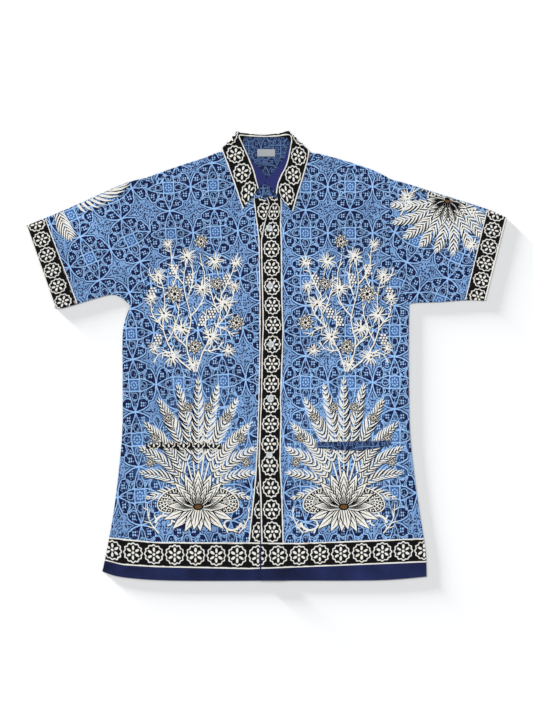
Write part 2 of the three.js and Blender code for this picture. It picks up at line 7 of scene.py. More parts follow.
import bpy
import numpy as np
from mathutils.geometry import delaunay_2d_cdt
from mathutils.kdtree import KDTree
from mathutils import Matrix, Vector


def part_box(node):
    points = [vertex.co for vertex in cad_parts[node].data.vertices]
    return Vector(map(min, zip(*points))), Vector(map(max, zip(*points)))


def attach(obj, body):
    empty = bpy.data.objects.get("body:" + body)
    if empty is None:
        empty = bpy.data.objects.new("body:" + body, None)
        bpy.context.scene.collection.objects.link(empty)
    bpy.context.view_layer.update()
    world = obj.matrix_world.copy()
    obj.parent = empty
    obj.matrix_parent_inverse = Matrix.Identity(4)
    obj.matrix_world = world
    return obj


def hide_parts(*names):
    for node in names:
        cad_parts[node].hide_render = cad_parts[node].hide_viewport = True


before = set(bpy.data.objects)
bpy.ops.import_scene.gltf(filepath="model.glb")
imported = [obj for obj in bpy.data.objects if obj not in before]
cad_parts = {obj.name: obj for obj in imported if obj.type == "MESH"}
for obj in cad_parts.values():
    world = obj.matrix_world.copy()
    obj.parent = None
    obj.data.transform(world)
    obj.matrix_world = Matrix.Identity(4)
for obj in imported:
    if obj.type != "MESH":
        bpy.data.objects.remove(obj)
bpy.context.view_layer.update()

cloth = {"layer": 1.3, "thickness": 0.8, "top": 1.0, "seamGap": 0.4, "spacing": 4.2, "coarser": 1.6}

# The label's middle ties the shirt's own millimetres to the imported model
labelMiddle = (1.2, 748.8)
labelLow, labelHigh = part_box("neck_label")
shiftX = (labelLow.x + labelHigh.x) * 500 - labelMiddle[0]
shiftY = (labelLow.y + labelHigh.y) * 500 - labelMiddle[1]

print("camera, floor and lights")

studio = {
    "cameraHeight": 2.6,
    "sensor": 36,
    "viewHeight": 1.24425,
    "centre": (0.00045, 0.0007),
    "floorSize": 9.0,
    "floorLevel": -0.0002,
    "floorColour": (0.68, 0.68, 0.68),
    "worldColour": (0.95, 0.97, 1.0),
    "worldStrength": 0.66,
}
suns = {  # energy, where the light comes from, and how wide it is in degrees
    "key": (1.85, (-1.3, 1.5, 2.2), 20),
    "low": (29.9, (-1.0, 0.95, 0.06), 5),
}


def addSun(name):
    energy, place, width = suns[name]
    data = bpy.data.lights.new(name, "SUN")
    data.energy = energy
    data.angle = math.radians(width)
    lamp = bpy.data.objects.new(name, data)
    lamp.location = place
    flat = math.hypot(place[0], place[1])
    lamp.rotation_euler = (math.atan2(flat, place[2]), 0, math.atan2(place[0], -place[1]))
    bpy.context.scene.collection.objects.link(lamp)
    return lamp


def makeStudio():
    scene = bpy.context.scene
    data = bpy.data.cameras.new("camera")
    data.sensor_width = studio["sensor"]
    data.lens = studio["sensor"] * studio["cameraHeight"] / studio["viewHeight"]
    camera = bpy.data.objects.new("camera", data)
    camera.location = (*studio["centre"], studio["cameraHeight"])
    scene.collection.objects.link(camera)
    scene.camera = camera
    scene.view_settings.view_transform = "Standard"

    world = bpy.data.worlds.new("paleRoom")
    world.use_nodes = True
    background = world.node_tree.nodes["Background"]
    background.inputs["Color"].default_value = (*studio["worldColour"], 1)
    background.inputs["Strength"].default_value = studio["worldStrength"]
    scene.world = world

    half, level = studio["floorSize"] / 2, studio["floorLevel"]
    corners = [(x, y, level) for x, y in ((-half, -half), (half, -half), (half, half), (-half, half))]
    mesh = bpy.data.meshes.new("floor")
    mesh.from_pydata(corners, [], [(0, 1, 2, 3)])
    floor = bpy.data.objects.new("floor", mesh)
    scene.collection.objects.link(floor)
    paint = bpy.data.materials.new("paleFloor")
    paint.use_nodes = True
    shader = paint.node_tree.nodes["Principled BSDF"]
    shader.inputs["Base Color"].default_value = (*studio["floorColour"], 1)
    shader.inputs["Roughness"].default_value = 0.9
    mesh.materials.append(paint)

    addSun("key")
    low = addSun("low")
    onFloor = bpy.data.collections.new("floorOnly")
    onFloor.objects.link(floor)
    low.light_linking.receiver_collection = onFloor  # it only draws the soft shadow on the floor


makeStudio()

print("print: lattice, rosette border and cloth")


def tone(red, green, blue):  # screen colour, 0 to 255
    linear = [(c / 255 / 12.92) if c < 11 else ((c / 255 + 0.055) / 1.055) ** 2.4 for c in (red, green, blue)]
    return (*linear, 1)


dye = {
    "dark": tone(19, 25, 66),
    "middle": tone(84, 125, 186),
    "light": tone(155, 196, 241),
    "wash": tone(96, 140, 198),
    "shade": tone(22, 27, 56),
    "black": tone(11, 10, 13),
    "cream": tone(236, 234, 226),
    "gold": tone(206, 168, 96),
    "brown": tone(96, 66, 34),
    "navy": tone(28, 35, 72),
    "facing": tone(43, 48, 104),
    # the next two are a darker copy of the lattice's dark and light: painted shade for the cloth's inside
    # round the neck and on the left welt
    "shadedInsideDark": tone(26, 34, 66),
    "shadedInsideLight": tone(94, 124, 170),
    # plain near-black for the cloth's inner side: painted shade, the inside as it looks in shadow
    "shadedInsidePlain": tone(14, 18, 36),
    "label": tone(163, 165, 168),
}


def link(tree, value, socket):  # the value is a field, a socket or a constant
    if isinstance(value, Field):
        value = value.socket
    if isinstance(value, bpy.types.NodeSocket):
        tree.links.new(value, socket)
    else:
        socket.default_value = value


class Field:  # a number that changes over the surface, worked out by Math nodes
    def __init__(self, tree, socket):
        self.tree = tree
        self.socket = socket

    def compute(self, operation, *others, clamp=False):
        node = self.tree.nodes.new("ShaderNodeMath")
        node.operation = operation
        node.use_clamp = clamp
        for socket, value in zip(node.inputs, (self, *others)):
            link(self.tree, value, socket)
        return Field(self.tree, node.outputs[0])

    def __add__(self, other):
        return self.compute("ADD", other)

    def __sub__(self, other):
        return self.compute("SUBTRACT", other)

    def __mul__(self, other):
        return self.compute("MULTIPLY", other)

    def __truediv__(self, other):
        return self.compute("DIVIDE", other)

    def __pow__(self, other):
        return self.compute("POWER", other)

    def __abs__(self):
        return self.compute("ABSOLUTE")

    def least(self, other):
        return self.compute("MINIMUM", other)

    def most(self, other):
        return self.compute("MAXIMUM", other)

    def below(self, limit, blur=0.008):  # 1 where the number is under the limit, with a soft edge
        return self.compute("MULTIPLY_ADD", -1 / blur, limit / blur + 0.5, clamp=True)

    def above(self, limit, blur=0.008):
        return self.compute("MULTIPLY_ADD", 1 / blur, 0.5 - limit / blur, clamp=True)

    def near(self, value, width, blur=0.008):  # 1 along the line where the number has this value
        return abs(self - value).below(width, blur)


def away(across, along):
    return (across * across + along * along).compute("SQRT")


def newGroup(name, inputs, outputs):
    tree = bpy.data.node_groups.new(name, "ShaderNodeTree")
    for label, kind, value in inputs:
        socket = tree.interface.new_socket(label, in_out="INPUT", socket_type=kind)
        if value is not None:
            socket.default_value = value
    for label, kind in outputs:
        tree.interface.new_socket(label, in_out="OUTPUT", socket_type=kind)
    source = tree.nodes.new("NodeGroupInput")
    result = tree.nodes.new("NodeGroupOutput")
    return tree, source, result


def addNode(tree, kind, settings=(), inputs=()):
    node = tree.nodes.new(kind)
    for key, value in dict(settings).items():
        setattr(node, key, value)
    for key, value in dict(inputs).items():
        link(tree, value, node.inputs[key])
    return node


def vectorMath(tree, operation, inputs):
    return addNode(tree, "ShaderNodeVectorMath", {"operation": operation}, inputs).outputs[0]


def noiseField(tree, vector, scale, detail):
    inputs = {"Vector": vector, "Scale": scale, "Detail": detail}
    return Field(tree, addNode(tree, "ShaderNodeTexNoise", inputs=inputs).outputs["Fac"])


def splitXY(tree, socket):
    node = addNode(tree, "ShaderNodeSeparateXYZ", inputs={"Vector": socket})
    return Field(tree, node.outputs["X"]), Field(tree, node.outputs["Y"])


def mixColours(tree, mask, first, second):
    inputs = {"Factor": mask, 6: first, 7: second}  # the colour sockets go by number
    return addNode(tree, "ShaderNodeMix", {"data_type": "RGBA"}, inputs).outputs[2]


# The hand-drawn waver of waxed lines, in the units of the coordinates given
def makeWaver():
    tree, source, result = newGroup(
        "waver",
        [
            ("Vector", "NodeSocketVector", None),
            ("Scale", "NodeSocketFloat", 3.0),
            ("Amount", "NodeSocketFloat", 0.03),
        ],
        [("Vector", "NodeSocketVector")],
    )
    vector, scale = source.outputs["Vector"], source.outputs["Scale"]
    inputs = {"Vector": vector, "Scale": scale, "Detail": 1.5}
    noise = addNode(tree, "ShaderNodeTexNoise", inputs=inputs)
    centred = vectorMath(tree, "SUBTRACT", {0: noise.outputs["Color"], 1: (0.5, 0.5, 0.5)})
    scaled = vectorMath(tree, "SCALE", {0: centred, "Scale": source.outputs["Amount"]})
    link(tree, vectorMath(tree, "ADD", {0: vector, 1: scaled}), result.inputs["Vector"])
    return tree


# One tile of the lattice, 1 wide, with a round medallion at its middle. Everything is drawn
# once in an eighth of the tile: "far" is the longer way from the middle, "near" the shorter.
def makeLattice():
    tree, source, result = newGroup(
        "lattice",
        [("Vector", "NodeSocketVector", None)],
        [("Light", "NodeSocketFloat"), ("Dark", "NodeSocketFloat")],
    )
    rawX, rawY = splitXY(tree, source.outputs["Vector"])
    x = abs(rawX.compute("FRACT") - 0.5)
    y = abs(rawY.compute("FRACT") - 0.5)
    far = x.most(y)
    near = x.least(y)
    radius = away(x, y)
    along = (far + near) * 0.7071
    aside = (far - near) * 0.7071

    # round rim with a nick on each diagonal
    nick = (near / far).above(0.84, 0.16) * 0.05
    beyond = radius + nick - 0.492
    medallion = beyond.below(0)
    light = beyond.near(0, 0.0105)

    # four leaves reach from the middle square to the rim, each with a heart
    reach = ((far - 0.1) / 0.375).most(0.0001)
    width = (reach ** 1.6) * -0.122 + 0.124
    onLeaf = far.above(0.112) * far.below(0.49)
    light = light.most((near - width).near(0, 0.009) * onLeaf)
    leaf = (near - width).below(0) * onLeaf
    heart = away((far - 0.215) / 1.5, near - 0.012).near(0.05, 0.007) * far.above(0.14)
    light = light.most(heart * leaf * 0.75)
    light = light.most(near.below(0.006) * far.above(0.27) * leaf * 0.55)

    # square with an eight-petalled flower
    square = far.below(0.112)
    light = light.most(far.near(0.116, 0.011))
    petals = away(far - 0.064, near).least(away(far - 0.046, near - 0.046)).below(0.017)
    light = light.most(petals).most(radius.below(0.018))

    # crown on the diagonal
    tall = abs(along - 0.25) / 0.115 + aside / 0.04
    wide = abs(along - 0.235) / 0.045 + aside / 0.1
    crown = tall.least(wide)
    light = light.most(crown.near(0.92, 0.13, 0.1))
    light = light.most(aside.below(0.008) * along.above(0.36) * medallion)

    # four-dot florets in dark lobes on each side of the diagonal
    fromFloret = away(far - 0.365, near - 0.168)
    dots = away(abs(far - 0.365) - 0.024, abs(near - 0.168) - 0.024).below(0.0175)
    light = light.most(dots)
    lobe = fromFloret.below(0.107).most(radius.above(0.4))
    ringed = fromFloret.near(0.118, 0.0075) * radius.below(0.4) * (leaf * -1 + 1) * far.above(0.2)
    light = light.most(ringed * 0.85)
    dark = medallion * lobe * (leaf * -1 + 1) * (square * -1 + 1)
    dark = dark.most(square * 0.42)

    # pale sprigs fill what is left of the dark medallion
    blots = noiseField(tree, source.outputs["Vector"], 21.0, 1.0)
    bare = medallion * (lobe * -1 + 1) * (square * -1 + 1)
    dark = dark.most(bare)
    light = light.most(blots.above(0.585, 0.04) * bare * (leaf * -0.3 + 0.85))
    scallops = fromFloret.near(0.076, 0.007) * blots.above(0.56, 0.03) * medallion
    light = light.most(scallops * (leaf * -1 + 1) * 0.8)

    # star between four medallions, stippled, with a small flower of dots
    cornerX = x * -1 + 0.5
    cornerY = y * -1 + 0.5
    cornerFar = cornerX.most(cornerY)
    cornerNear = cornerX.least(cornerY)
    outside = beyond.above(0.012)
    inner = beyond.above(0.045, 0.012)
    light = light.most(beyond.near(0.042, 0.006) * 0.8)
    inputs = {"Vector": source.outputs["Vector"], "Scale": 27.0}
    stipple = addNode(tree, "ShaderNodeTexVoronoi", inputs=inputs)
    grain = Field(tree, stipple.outputs["Distance"]).below(0.42, 0.14)
    straight = away(cornerFar - 0.062, cornerNear)
    slanting = away(cornerFar - 0.05, cornerNear - 0.05)
    seeds = straight.least(slanting).below(0.0155)
    spike = cornerNear.below(0.012) * cornerFar.above(0.19)
    arms = away(cornerFar - 0.15, cornerNear).below(0.02).most(spike)
    light = light.most(inner * (grain * -0.5 + 0.5))
    dark = dark.most(inner * (grain * 0.6 + 0.4))
    light = light.least((seeds.most(arms) * inner) * -1 + 1)
    dark = dark.most(seeds.most(arms) * inner)
    dark = dark.most(outside * (inner * -1 + 1) * 0.85)
    link(tree, light, result.inputs["Light"])
    link(tree, dark, result.inputs["Dark"])
    return tree


# Rosettes in a row between two lines: x counts the rosettes, y runs across from -0.5 to 0.5
def makeRosettes():
    tree, source, result = newGroup(
        "rosettes",
        [("Vector", "NodeSocketVector", None), ("Line", "NodeSocketFloat", 0.05)],
        [("Cream", "NodeSocketFloat")],
    )
    rawX, rawY = splitXY(tree, source.outputs["Vector"])
    x = (rawX.compute("FRACT") - 0.5) / 0.475
    y = rawY / 0.405
    radius = away(x, y)
    angle = x.compute("ARCTAN2", y)
    scallop = (angle * 12).compute("COSINE") * 0.05
    ring = (radius - scallop).near(0.885, 0.06, 0.05)
    fold = angle.compute("PINGPONG", math.pi / 6)  # 0 along a petal, a twelfth turn between two
    across = radius * fold.compute("SINE")
    along = radius * fold.compute("COSINE")
    petal = away((along - 0.47) / 1.95, across).below(0.116, 0.04)
    middle = radius.below(0.13, 0.05)
    edges = abs(rawY) + Field(tree, source.outputs["Line"])
    cream = ring.most(petal).most(middle).most(edges.above(0.5, 0.02))
    link(tree, cream, result.inputs["Cream"])
    return tree


# Plain weave with slight rumples, as a height in millimetres
def makeWeave():
    tree, source, result = newGroup(
        "weave",
        [
            ("Vector", "NodeSocketVector", None),
            ("Threads", "NodeSocketFloat", 1.7),
            ("Rumple", "NodeSocketFloat", 1.0),
        ],
        [("Height", "NodeSocketFloat"), ("Shade", "NodeSocketFloat")],
    )
    rawX, rawY = splitXY(tree, source.outputs["Vector"])
    threads = Field(tree, source.outputs["Threads"])
    warp = (rawX * threads * 6283.2).compute("SINE")
    weft = (rawY * threads * 6283.2).compute("SINE")
    threadHeight = warp.most(weft) * 0.03
    soft = noiseField(tree, source.outputs["Vector"], 26.0, 3.0)
    slow = noiseField(tree, source.outputs["Vector"], 7.0, 2.0)
    rumple = (soft - 0.5) * Field(tree, source.outputs["Rumple"]) * 1.6
    link(tree, threadHeight + rumple, result.inputs["Height"])
    link(tree, slow * 0.6 + soft * 0.4, result.inputs["Shade"])
    return tree


groups = {
    "waver": makeWaver(),
    "lattice": makeLattice(),
    "rosettes": makeRosettes(),
    "weave": makeWeave(),
}


def useGroup(tree, name, inputs):
    return addNode(tree, "ShaderNodeGroup", {"node_tree": groups[name]}, inputs)


def newMaterial(name, values):  # the material, its tree, its shader and the object's coordinates
    material = bpy.data.materials.new(name)
    material.use_nodes = True
    tree = material.node_tree
    shader = tree.nodes["Principled BSDF"]
    for key, value in values.items():
        shader.inputs[key].default_value = value
    return material, tree, shader, addNode(tree, "ShaderNodeTexCoord").outputs["Object"]


def addBump(tree, shader, strength, distance, height):
    inputs = {"Strength": strength, "Distance": distance, "Height": height}
    bump = addNode(tree, "ShaderNodeBump", inputs=inputs)
    link(tree, bump.outputs["Normal"], shader.inputs["Normal"])


matt = {
    "Roughness": 0.9,
    "Sheen Weight": 0.05,
    "Sheen Roughness": 0.5,
    "Specular IOR Level": 0.12,
}


# A cloth material: "paint" gets the tree and returns the colour, the rest is the weave
def makeCloth(name, paint, rumple=1.0, threads=1.7):
    material, tree, shader, place = newMaterial(name, matt)
    weave = useGroup(tree, "weave", {"Vector": place, "Threads": threads, "Rumple": rumple})
    colour = paint(tree, place, Field(tree, weave.outputs["Shade"]))
    link(tree, colour, shader.inputs["Base Color"])
    addBump(tree, shader, 0.6, 0.001, weave.outputs["Height"])
    return material


def shaded(tree, colour, shade, least, most):  # darker and lighter by the cloth's own unevenness
    amount = shade * (most - least) * 1.6 + (least - 0.3 * (most - least))
    base = colour if isinstance(colour, bpy.types.NodeSocket) else colour[:3]
    return vectorMath(tree, "SCALE", {0: base, "Scale": amount})


def latticePaint(dark, middle, light, washColour):
    def paint(tree, place, shade):
        flat = addNode(tree, "ShaderNodeUVMap", {"uv_map": "print"})
        wavy = useGroup(tree, "waver", {"Vector": flat.outputs["UV"], "Scale": 5.0, "Amount": 0.035})
        shaky = useGroup(tree, "waver", {"Vector": wavy.outputs["Vector"], "Scale": 21.0, "Amount": 0.02})
        tile = useGroup(tree, "lattice", {"Vector": shaky.outputs["Vector"]})
        wash = addNode(tree, "ShaderNodeAttribute", {"attribute_name": "wash"})
        amount = Field(tree, wash.outputs["Fac"])
        ground = mixColours(tree, Field(tree, tile.outputs["Dark"]), middle, dark)
        ground = mixColours(tree, amount, ground, washColour)
        waxed = Field(tree, tile.outputs["Light"]) * (shade * 0.9 + 0.6)
        colour = mixColours(tree, waxed.least(0.97), ground, light)
        return shaded(tree, colour, shade, 0.8, 1.2)
    return paint


def borderPaint(tree, place, shade):
    flat = addNode(tree, "ShaderNodeUVMap", {"uv_map": "print"})
    wavy = useGroup(tree, "waver", {"Vector": flat.outputs["UV"], "Scale": 4.0, "Amount": 0.06})
    row = useGroup(tree, "rosettes", {"Vector": wavy.outputs["Vector"]})
    gilt = noiseField(tree, place, 90.0, 2.0).above(0.66, 0.06) * 0.4
    cream = mixColours(tree, gilt, dye["cream"], dye["gold"])
    colour = mixColours(tree, Field(tree, row.outputs["Cream"]), dye["black"], cream)
    return shaded(tree, colour, shade, 0.9, 1.07)


def creamPaint(tree, place, shade):
    gilt = noiseField(tree, place, 120.0, 2.0).above(0.64, 0.08) * 0.35
    colour = mixColours(tree, gilt, dye["cream"], dye["gold"])
    return shaded(tree, colour, shade, 0.93, 1.05)


def plainPaint(base, least=0.85, most=1.15):
    def paint(tree, place, shade):
        return shaded(tree, base, shade, least, most)
    return paint


outsidePaint = latticePaint(dye["dark"], dye["middle"], dye["light"], dye["wash"])
# a darker copy of the lattice: painted shade for the cloth's inside round the neck and on the left welt
shadedInsidePaint = latticePaint(dye["shadedInsideDark"], dye["shadedInsideDark"], dye["shadedInsideLight"], dye["shadedInsideDark"])
labelPaint = plainPaint(dye["label"], 0.8, 1.2)
materials = {
    "lattice": makeCloth("latticeCloth", outsidePaint),
    "border": makeCloth("borderCloth", borderPaint),
    "cream": makeCloth("creamPrint", creamPaint),
    "ink": makeCloth("inkPrint", plainPaint(dye["black"])),
    "shade": makeCloth("shadePrint", plainPaint(dye["shade"], 0.7, 1.3)),
    "gold": makeCloth("goldPrint", plainPaint(dye["brown"], 0.6, 1.9)),
    "navy": makeCloth("navyCloth", plainPaint(dye["navy"], -0.1, 2.1), rumple=2.5),
    "facing": makeCloth("facingCloth", plainPaint(dye["facing"], 0.75, 1.25)),
    # the inner sides in plain near-black: painted shade
    "lining": makeCloth("shadedLiningCloth", plainPaint(dye["shadedInsidePlain"], 0.7, 1.3)),
    # the lattice's darker copy, painted shade
    "inside": makeCloth("shadedClothInside", shadedInsidePaint),
    "label": makeCloth("labelCloth", labelPaint, threads=0.5, rumple=2.5),
}
finishOf = dict.fromkeys(("hem", "placket", "underPlacket", "cuff", "collar"), "border")

print("shape of the cloth")

swells = [  # air under the top layer, as ellipses: x, y, radii, height
    (0, 300, 232, 275, 1.5),
    (-118, 600, 78, 95, 1.0),
    (118, 600, 88, 95, 0.9),
    (-305, 588, 92, 62, 1.5),
    (315, 586, 84, 68, 1.4),
]

folds = [  # ridges that rise and fade along a line: x1, y1, x2, y2, height, width
    (-240, 484, -192, 548, 1.6, 9),
    (-240, 478, -172, 500, 1.5, 8),
    (-232, 474, -222, 420, 1.2, 8),
    (-246, 490, -268, 560, 1.2, 10),
    (252, 488, 208, 540, 1.5, 9),
    (250, 480, 196, 506, 1.3, 8),
    (262, 500, 292, 566, 1.2, 10),
    (60, 664, 74, 606, 1.1, 10),
    (-80, 728, -62, 660, 0.9, 11),
    (-196, 40, -176, 330, 0.8, 32),
    (196, 40, 186, 320, 0.8, 32),
    (-30, 180, -34, 330, 0.5, 16),
    (52, 150, 56, 300, 0.5, 16),
    (-330, 500, -306, 560, 0.9, 13),
    (-352, 560, -300, 610, 0.8, 16),
    (352, 520, 300, 566, 0.9, 14),
    (372, 590, 318, 622, 0.8, 16),
    (-228, 300, -150, 352, 0.6, 20),
    (236, 330, 160, 372, 0.6, 20),
    (-222, 150, -190, 214, 0.6, 18),
    (228, 120, 204, 190, 0.6, 18),
    (-150, 700, -168, 630, 0.7, 16),
    (142, 700, 164, 634, 0.7, 16),
    (-60, 90, -44, 20, 0.5, 12),
    (110, 84, 122, 14, 0.5, 13),
    (-150, 76, -158, 10, 0.5, 13),
    (214, 72, 222, 12, 0.5, 12),
]

loftLimit = 3.4


def mix(first, second, share):
    return first + (second - first) * share


def smooth(value):
    value = np.clip(value, 0, 1)
    return value * value * (3 - 2 * value)


def loftAt(points):
    x, y = points[..., 0], points[..., 1]
    height = np.zeros(x.shape)
    for cx, cy, rx, ry, rise in swells:
        reach = ((x - cx) / rx) ** 2 + ((y - cy) / ry) ** 2
        height += rise * np.clip(1 - reach, 0, 1) ** 2
    for x1, y1, x2, y2, rise, width in folds:
        runX, runY = x2 - x1, y2 - y1
        along = ((x - x1) * runX + (y - y1) * runY) / (runX ** 2 + runY ** 2)
        aside = np.hypot(x - x1 - runX * along, y - y1 - runY * along) / width
        crest = np.sin(np.pi * np.clip(along, 0, 1)) ** 0.7
        height += rise * crest * np.clip(1 - aside ** 2, 0, 1) ** 2
    return np.minimum(height, loftLimit)


def liftedHeight(plan):  # the upper side of cloth that lies on one layer
    return cloth["layer"] + cloth["top"] + loftAt(plan)


def secondHeight(plan):  # and on two layers
    return 2 * cloth["layer"] + cloth["top"] + loftAt(plan)


def unit(vector):
    return vector / np.linalg.norm(vector)


# Places on a smooth curve through the points p, at t counted in points from the first
def splineAt(p, t):
    last = len(p) - 1
    k = np.clip(np.floor(t).astype(int), 0, last - 1)
    w = (t - k)[:, None]
    before, a = p[np.maximum(k - 1, 0)], p[k]
    b, after = p[k + 1], p[np.minimum(k + 2, last)]
    pullA, pullB = (b - before) / 2, (after - a) / 2
    cubic = (2 * a - 2 * b + pullA + pullB) * w ** 3
    return cubic + (-3 * a + 3 * b - 2 * pullA - pullB) * w ** 2 + pullA * w + a


def curvedBySpan(points, steps):  # the same number of steps from each point to the next
    p = np.array(points, float)
    last = len(p) - 1
    return splineAt(p, np.linspace(0, last, last * steps + 1))


def curved(points, steps):  # steps of even length
    p = np.array(points, float)
    last = len(p) - 1
    fine = np.linspace(0, 1, 401)
    trace = splineAt(p, fine * last)
    run = np.concatenate([[0], np.cumsum(np.linalg.norm(np.diff(trace, axis=0), axis=1))])
    return splineAt(p, np.interp(np.linspace(0, run[-1], steps + 1), run, fine) * last)


def lengthOf(points):
    return np.linalg.norm(np.diff(np.array(points, float), axis=0), axis=1).sum()


def evenly(points, spacing=None):
    return curved(points, max(2, round(lengthOf(points) / (spacing or cloth["spacing"]))))


def gridOver(outline, spacing):  # staggered points over the outline's box
    low, high = outline.min(axis=0), outline.max(axis=0)
    rowStep = spacing * 0.866
    rows = []
    for k, y in enumerate(np.arange(low[1] + rowStep / 2, high[1], rowStep)):
        xs = np.arange(low[0] + (k % 2) * spacing / 2, high[0], spacing)
        rows.append(np.column_stack([xs, np.full(len(xs), y)]))
    return np.concatenate(rows)


# A flat piece cut into triangles along every region's edge. Regions are (kind, outline) and a
# later one lies over an earlier one.
def cutCloth(outline, regions, spacing):
    points = list(gridOver(outline, spacing))
    outlines = []
    for polygon in [outline, *[polygon for _, polygon in regions]]:
        turn = np.roll(polygon, -1, axis=0)
        area = (polygon[:, 0] * turn[:, 1] - turn[:, 0] * polygon[:, 1]).sum()
        if area < 0:
            polygon = polygon[::-1]
        outlines.append(list(range(len(points), len(points) + len(polygon))))
        points.extend(polygon)
    made = delaunay_2d_cdt([tuple(p) for p in points], [], outlines, 0, 1e-4)
    flat = np.array([tuple(v) for v in made[0]])
    faces, faceKinds = [], []
    for face, origins in zip(made[2], made[5]):
        if 0 not in origins:
            continue
        top = max(origins)
        faces.append(tuple(face))
        faceKinds.append("lattice" if top == 0 else regions[top - 1][0])
    used = np.unique(np.array(faces))
    number = np.full(len(flat), -1)
    number[used] = np.arange(len(used))
    return flat[used], [tuple(number[list(face)]) for face in faces], faceKinds


# A skin's outer edge, point by point, from its faces' directed edges
def edgeLoop(edges):
    follow = {a: b for a, b in edges if (b, a) not in edges}
    loop = [min(follow)]
    while follow[loop[-1]] != loop[0]:
        loop.append(follow[loop[-1]])
    return loop


# An outline cut evenly, with no drawing: the points inside it, and faces that number the
# outline's own points first
def plainCut(outline, spacing):
    grid = gridOver(outline, spacing)
    gaps = np.linalg.norm(grid[:, None] - outline, axis=2).min(axis=1)
    grid = grid[gaps > spacing * 0.6]
    points = [tuple(p) for p in np.concatenate([outline, grid])]
    made = delaunay_2d_cdt(points, [], [list(range(len(outline)))], 0, 1e-6)
    number = [sources[0] for sources in made[3]]
    faces = [tuple(number[v] for v in face) for face, origins in zip(made[2], made[5]) if 0 in origins]
    return grid, faces


cuts = {  # flat width and length in metres, area in square metres, and what the piece lies on
    "back_cloth": (0.580, 0.755, 0.362, "floor"),
    "front_right_cloth": (0.310, 0.742, 0.187, "back_cloth"),
    "front_left_cloth": (0.296, 0.742, 0.182, "front_right_cloth"),
    "sleeve_right_cloth": (0.460, 0.210, 0.0696, "floor"),
    "sleeve_left_cloth": (0.450, 0.200, 0.0671, "floor"),
    "collar_leaf_cloth": (0.330, 0.048, 0.0130, "front_left_cloth"),
    "collar_stand_cloth": (0.084, 0.048, 0.00383, "back_cloth"),
    "facing_right_cloth": (0.086, 0.024, 0.00098, "back_cloth"),
    "facing_left_cloth": (0.100, 0.034, 0.0014, "front_right_cloth"),
    "pocket_welt_right_cloth": (0.131, 0.0115, 0.00144, "front_right_cloth"),
    "pocket_welt_left_cloth": (0.131, 0.017, 0.00185, "front_left_cloth"),
    "neck_label_cloth": (0.0325, 0.0135, 0.00042, "collar_stand_cloth"),
}


# Joins parts (points, plan points, faces, kinds) into one skin, gives it thickness and makes
# the object. uvOf(kind, plan) gives the print's coordinates. plainUnder, a height for points
# of the plan, has the hidden side cut evenly instead of along the drawings.
# The hidden side is the plain near-black lining unless told otherwise: painted shade.
def sew(name, parts, uvOf, replaced, washOf=None, liningKind="lining", plainUnder=None):
    thickness = cloth["thickness"]
    points = np.concatenate([part[0] for part in parts])
    plan = np.concatenate([part[1] for part in parts])
    faces, faceKinds, start = [], [], 0
    for part in parts:
        faces += [tuple(start + v for v in face) for face in part[2]]
        faceKinds += part[3]
        start += len(part[0])
    _, first, inverse = np.unique(np.round(points, 3), axis=0, return_index=True, return_inverse=True)
    inverse = inverse.reshape(-1)
    skin = points[first]
    corners = [tuple(inverse[list(face)]) for face in faces]

    normals = np.zeros(skin.shape)
    for face in corners:
        p = skin[list(face)]
        spread = np.cross(p[1] - p[0], p[2] - p[0])
        if len(face) == 4:
            spread += np.cross(p[2] - p[0], p[3] - p[0])
        normals[list(face)] += spread
    normals /= np.maximum(np.linalg.norm(normals, axis=1), 1e-9)[:, None]
    count = len(skin)
    lining = skin - normals * thickness

    edges = {}
    for k, face in enumerate(corners):
        for a, b in zip(face, face[1:] + face[:1]):
            edges[(a, b)] = k
    hidden, hiddenUv = corners, [uvOf("lattice", plan[list(face)])[::-1] for face in faces]
    below = {k: count + k for k in range(count)}
    if plainUnder:
        edge = edgeLoop(edges)
        inner, hidden = plainCut(skin[edge, :2], cloth["spacing"])
        lining = np.concatenate([lining[edge], np.column_stack([inner, plainUnder(inner) - thickness])])
        hiddenUv = [uvOf("lattice", lining[list(face), :2])[::-1] for face in hidden]
        below = {v: count + k for k, v in enumerate(edge)}
    allFaces = list(corners) + [tuple(count + v for v in reversed(face)) for face in hidden]
    allKinds = list(faceKinds) + [liningKind] * len(hidden)
    uvRows = [uvOf(kind, plan[list(face)]) for face, kind in zip(faces, faceKinds)] + hiddenUv
    for (a, b), k in edges.items():
        if (b, a) in edges:
            continue
        allFaces.append((b, a, below[a], below[b]))
        allKinds.append(faceKinds[k])
        cornerUv = dict(zip(corners[k], uvRows[k]))
        uvRows.append(np.array([cornerUv[b], cornerUv[a], cornerUv[a], cornerUv[b]]))

    place = (np.concatenate([skin, lining]) + (shiftX, shiftY, 0)) / 1000
    mesh = bpy.data.meshes.new(name)
    mesh.from_pydata(place.tolist(), [], [tuple(int(v) for v in face) for face in allFaces])
    mesh.uv_layers.new(name="print")
    mesh.uv_layers["print"].data.foreach_set("uv", np.concatenate(uvRows).astype(np.float32).ravel())
    finishes = [finishOf.get(kind, kind) for kind in allKinds]
    used = sorted(set(finishes), key=list(materials).index)
    for finish in used:
        mesh.materials.append(materials[finish])
    slots = np.array([used.index(finish) for finish in finishes], dtype=np.int32)
    mesh.polygons.foreach_set("material_index", slots)
    mesh.polygons.foreach_set("use_smooth", np.ones(len(allFaces), dtype=bool))
    wash = mesh.attributes.new("wash", "FLOAT", "POINT")
    if washOf:
        amount = washOf(plan[first])
        wash.data.foreach_set("value", np.append(amount, np.zeros(len(lining))).astype(np.float32))
    mesh.set_sharp_from_angle(angle=math.radians(55))
    mesh.validate()
    piece = bpy.data.objects.new(name, mesh)
    bpy.context.scene.collection.objects.link(piece)
    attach(piece, "root")
    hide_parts(*replaced)
    width, length, area, below = cuts[name]
    return piece


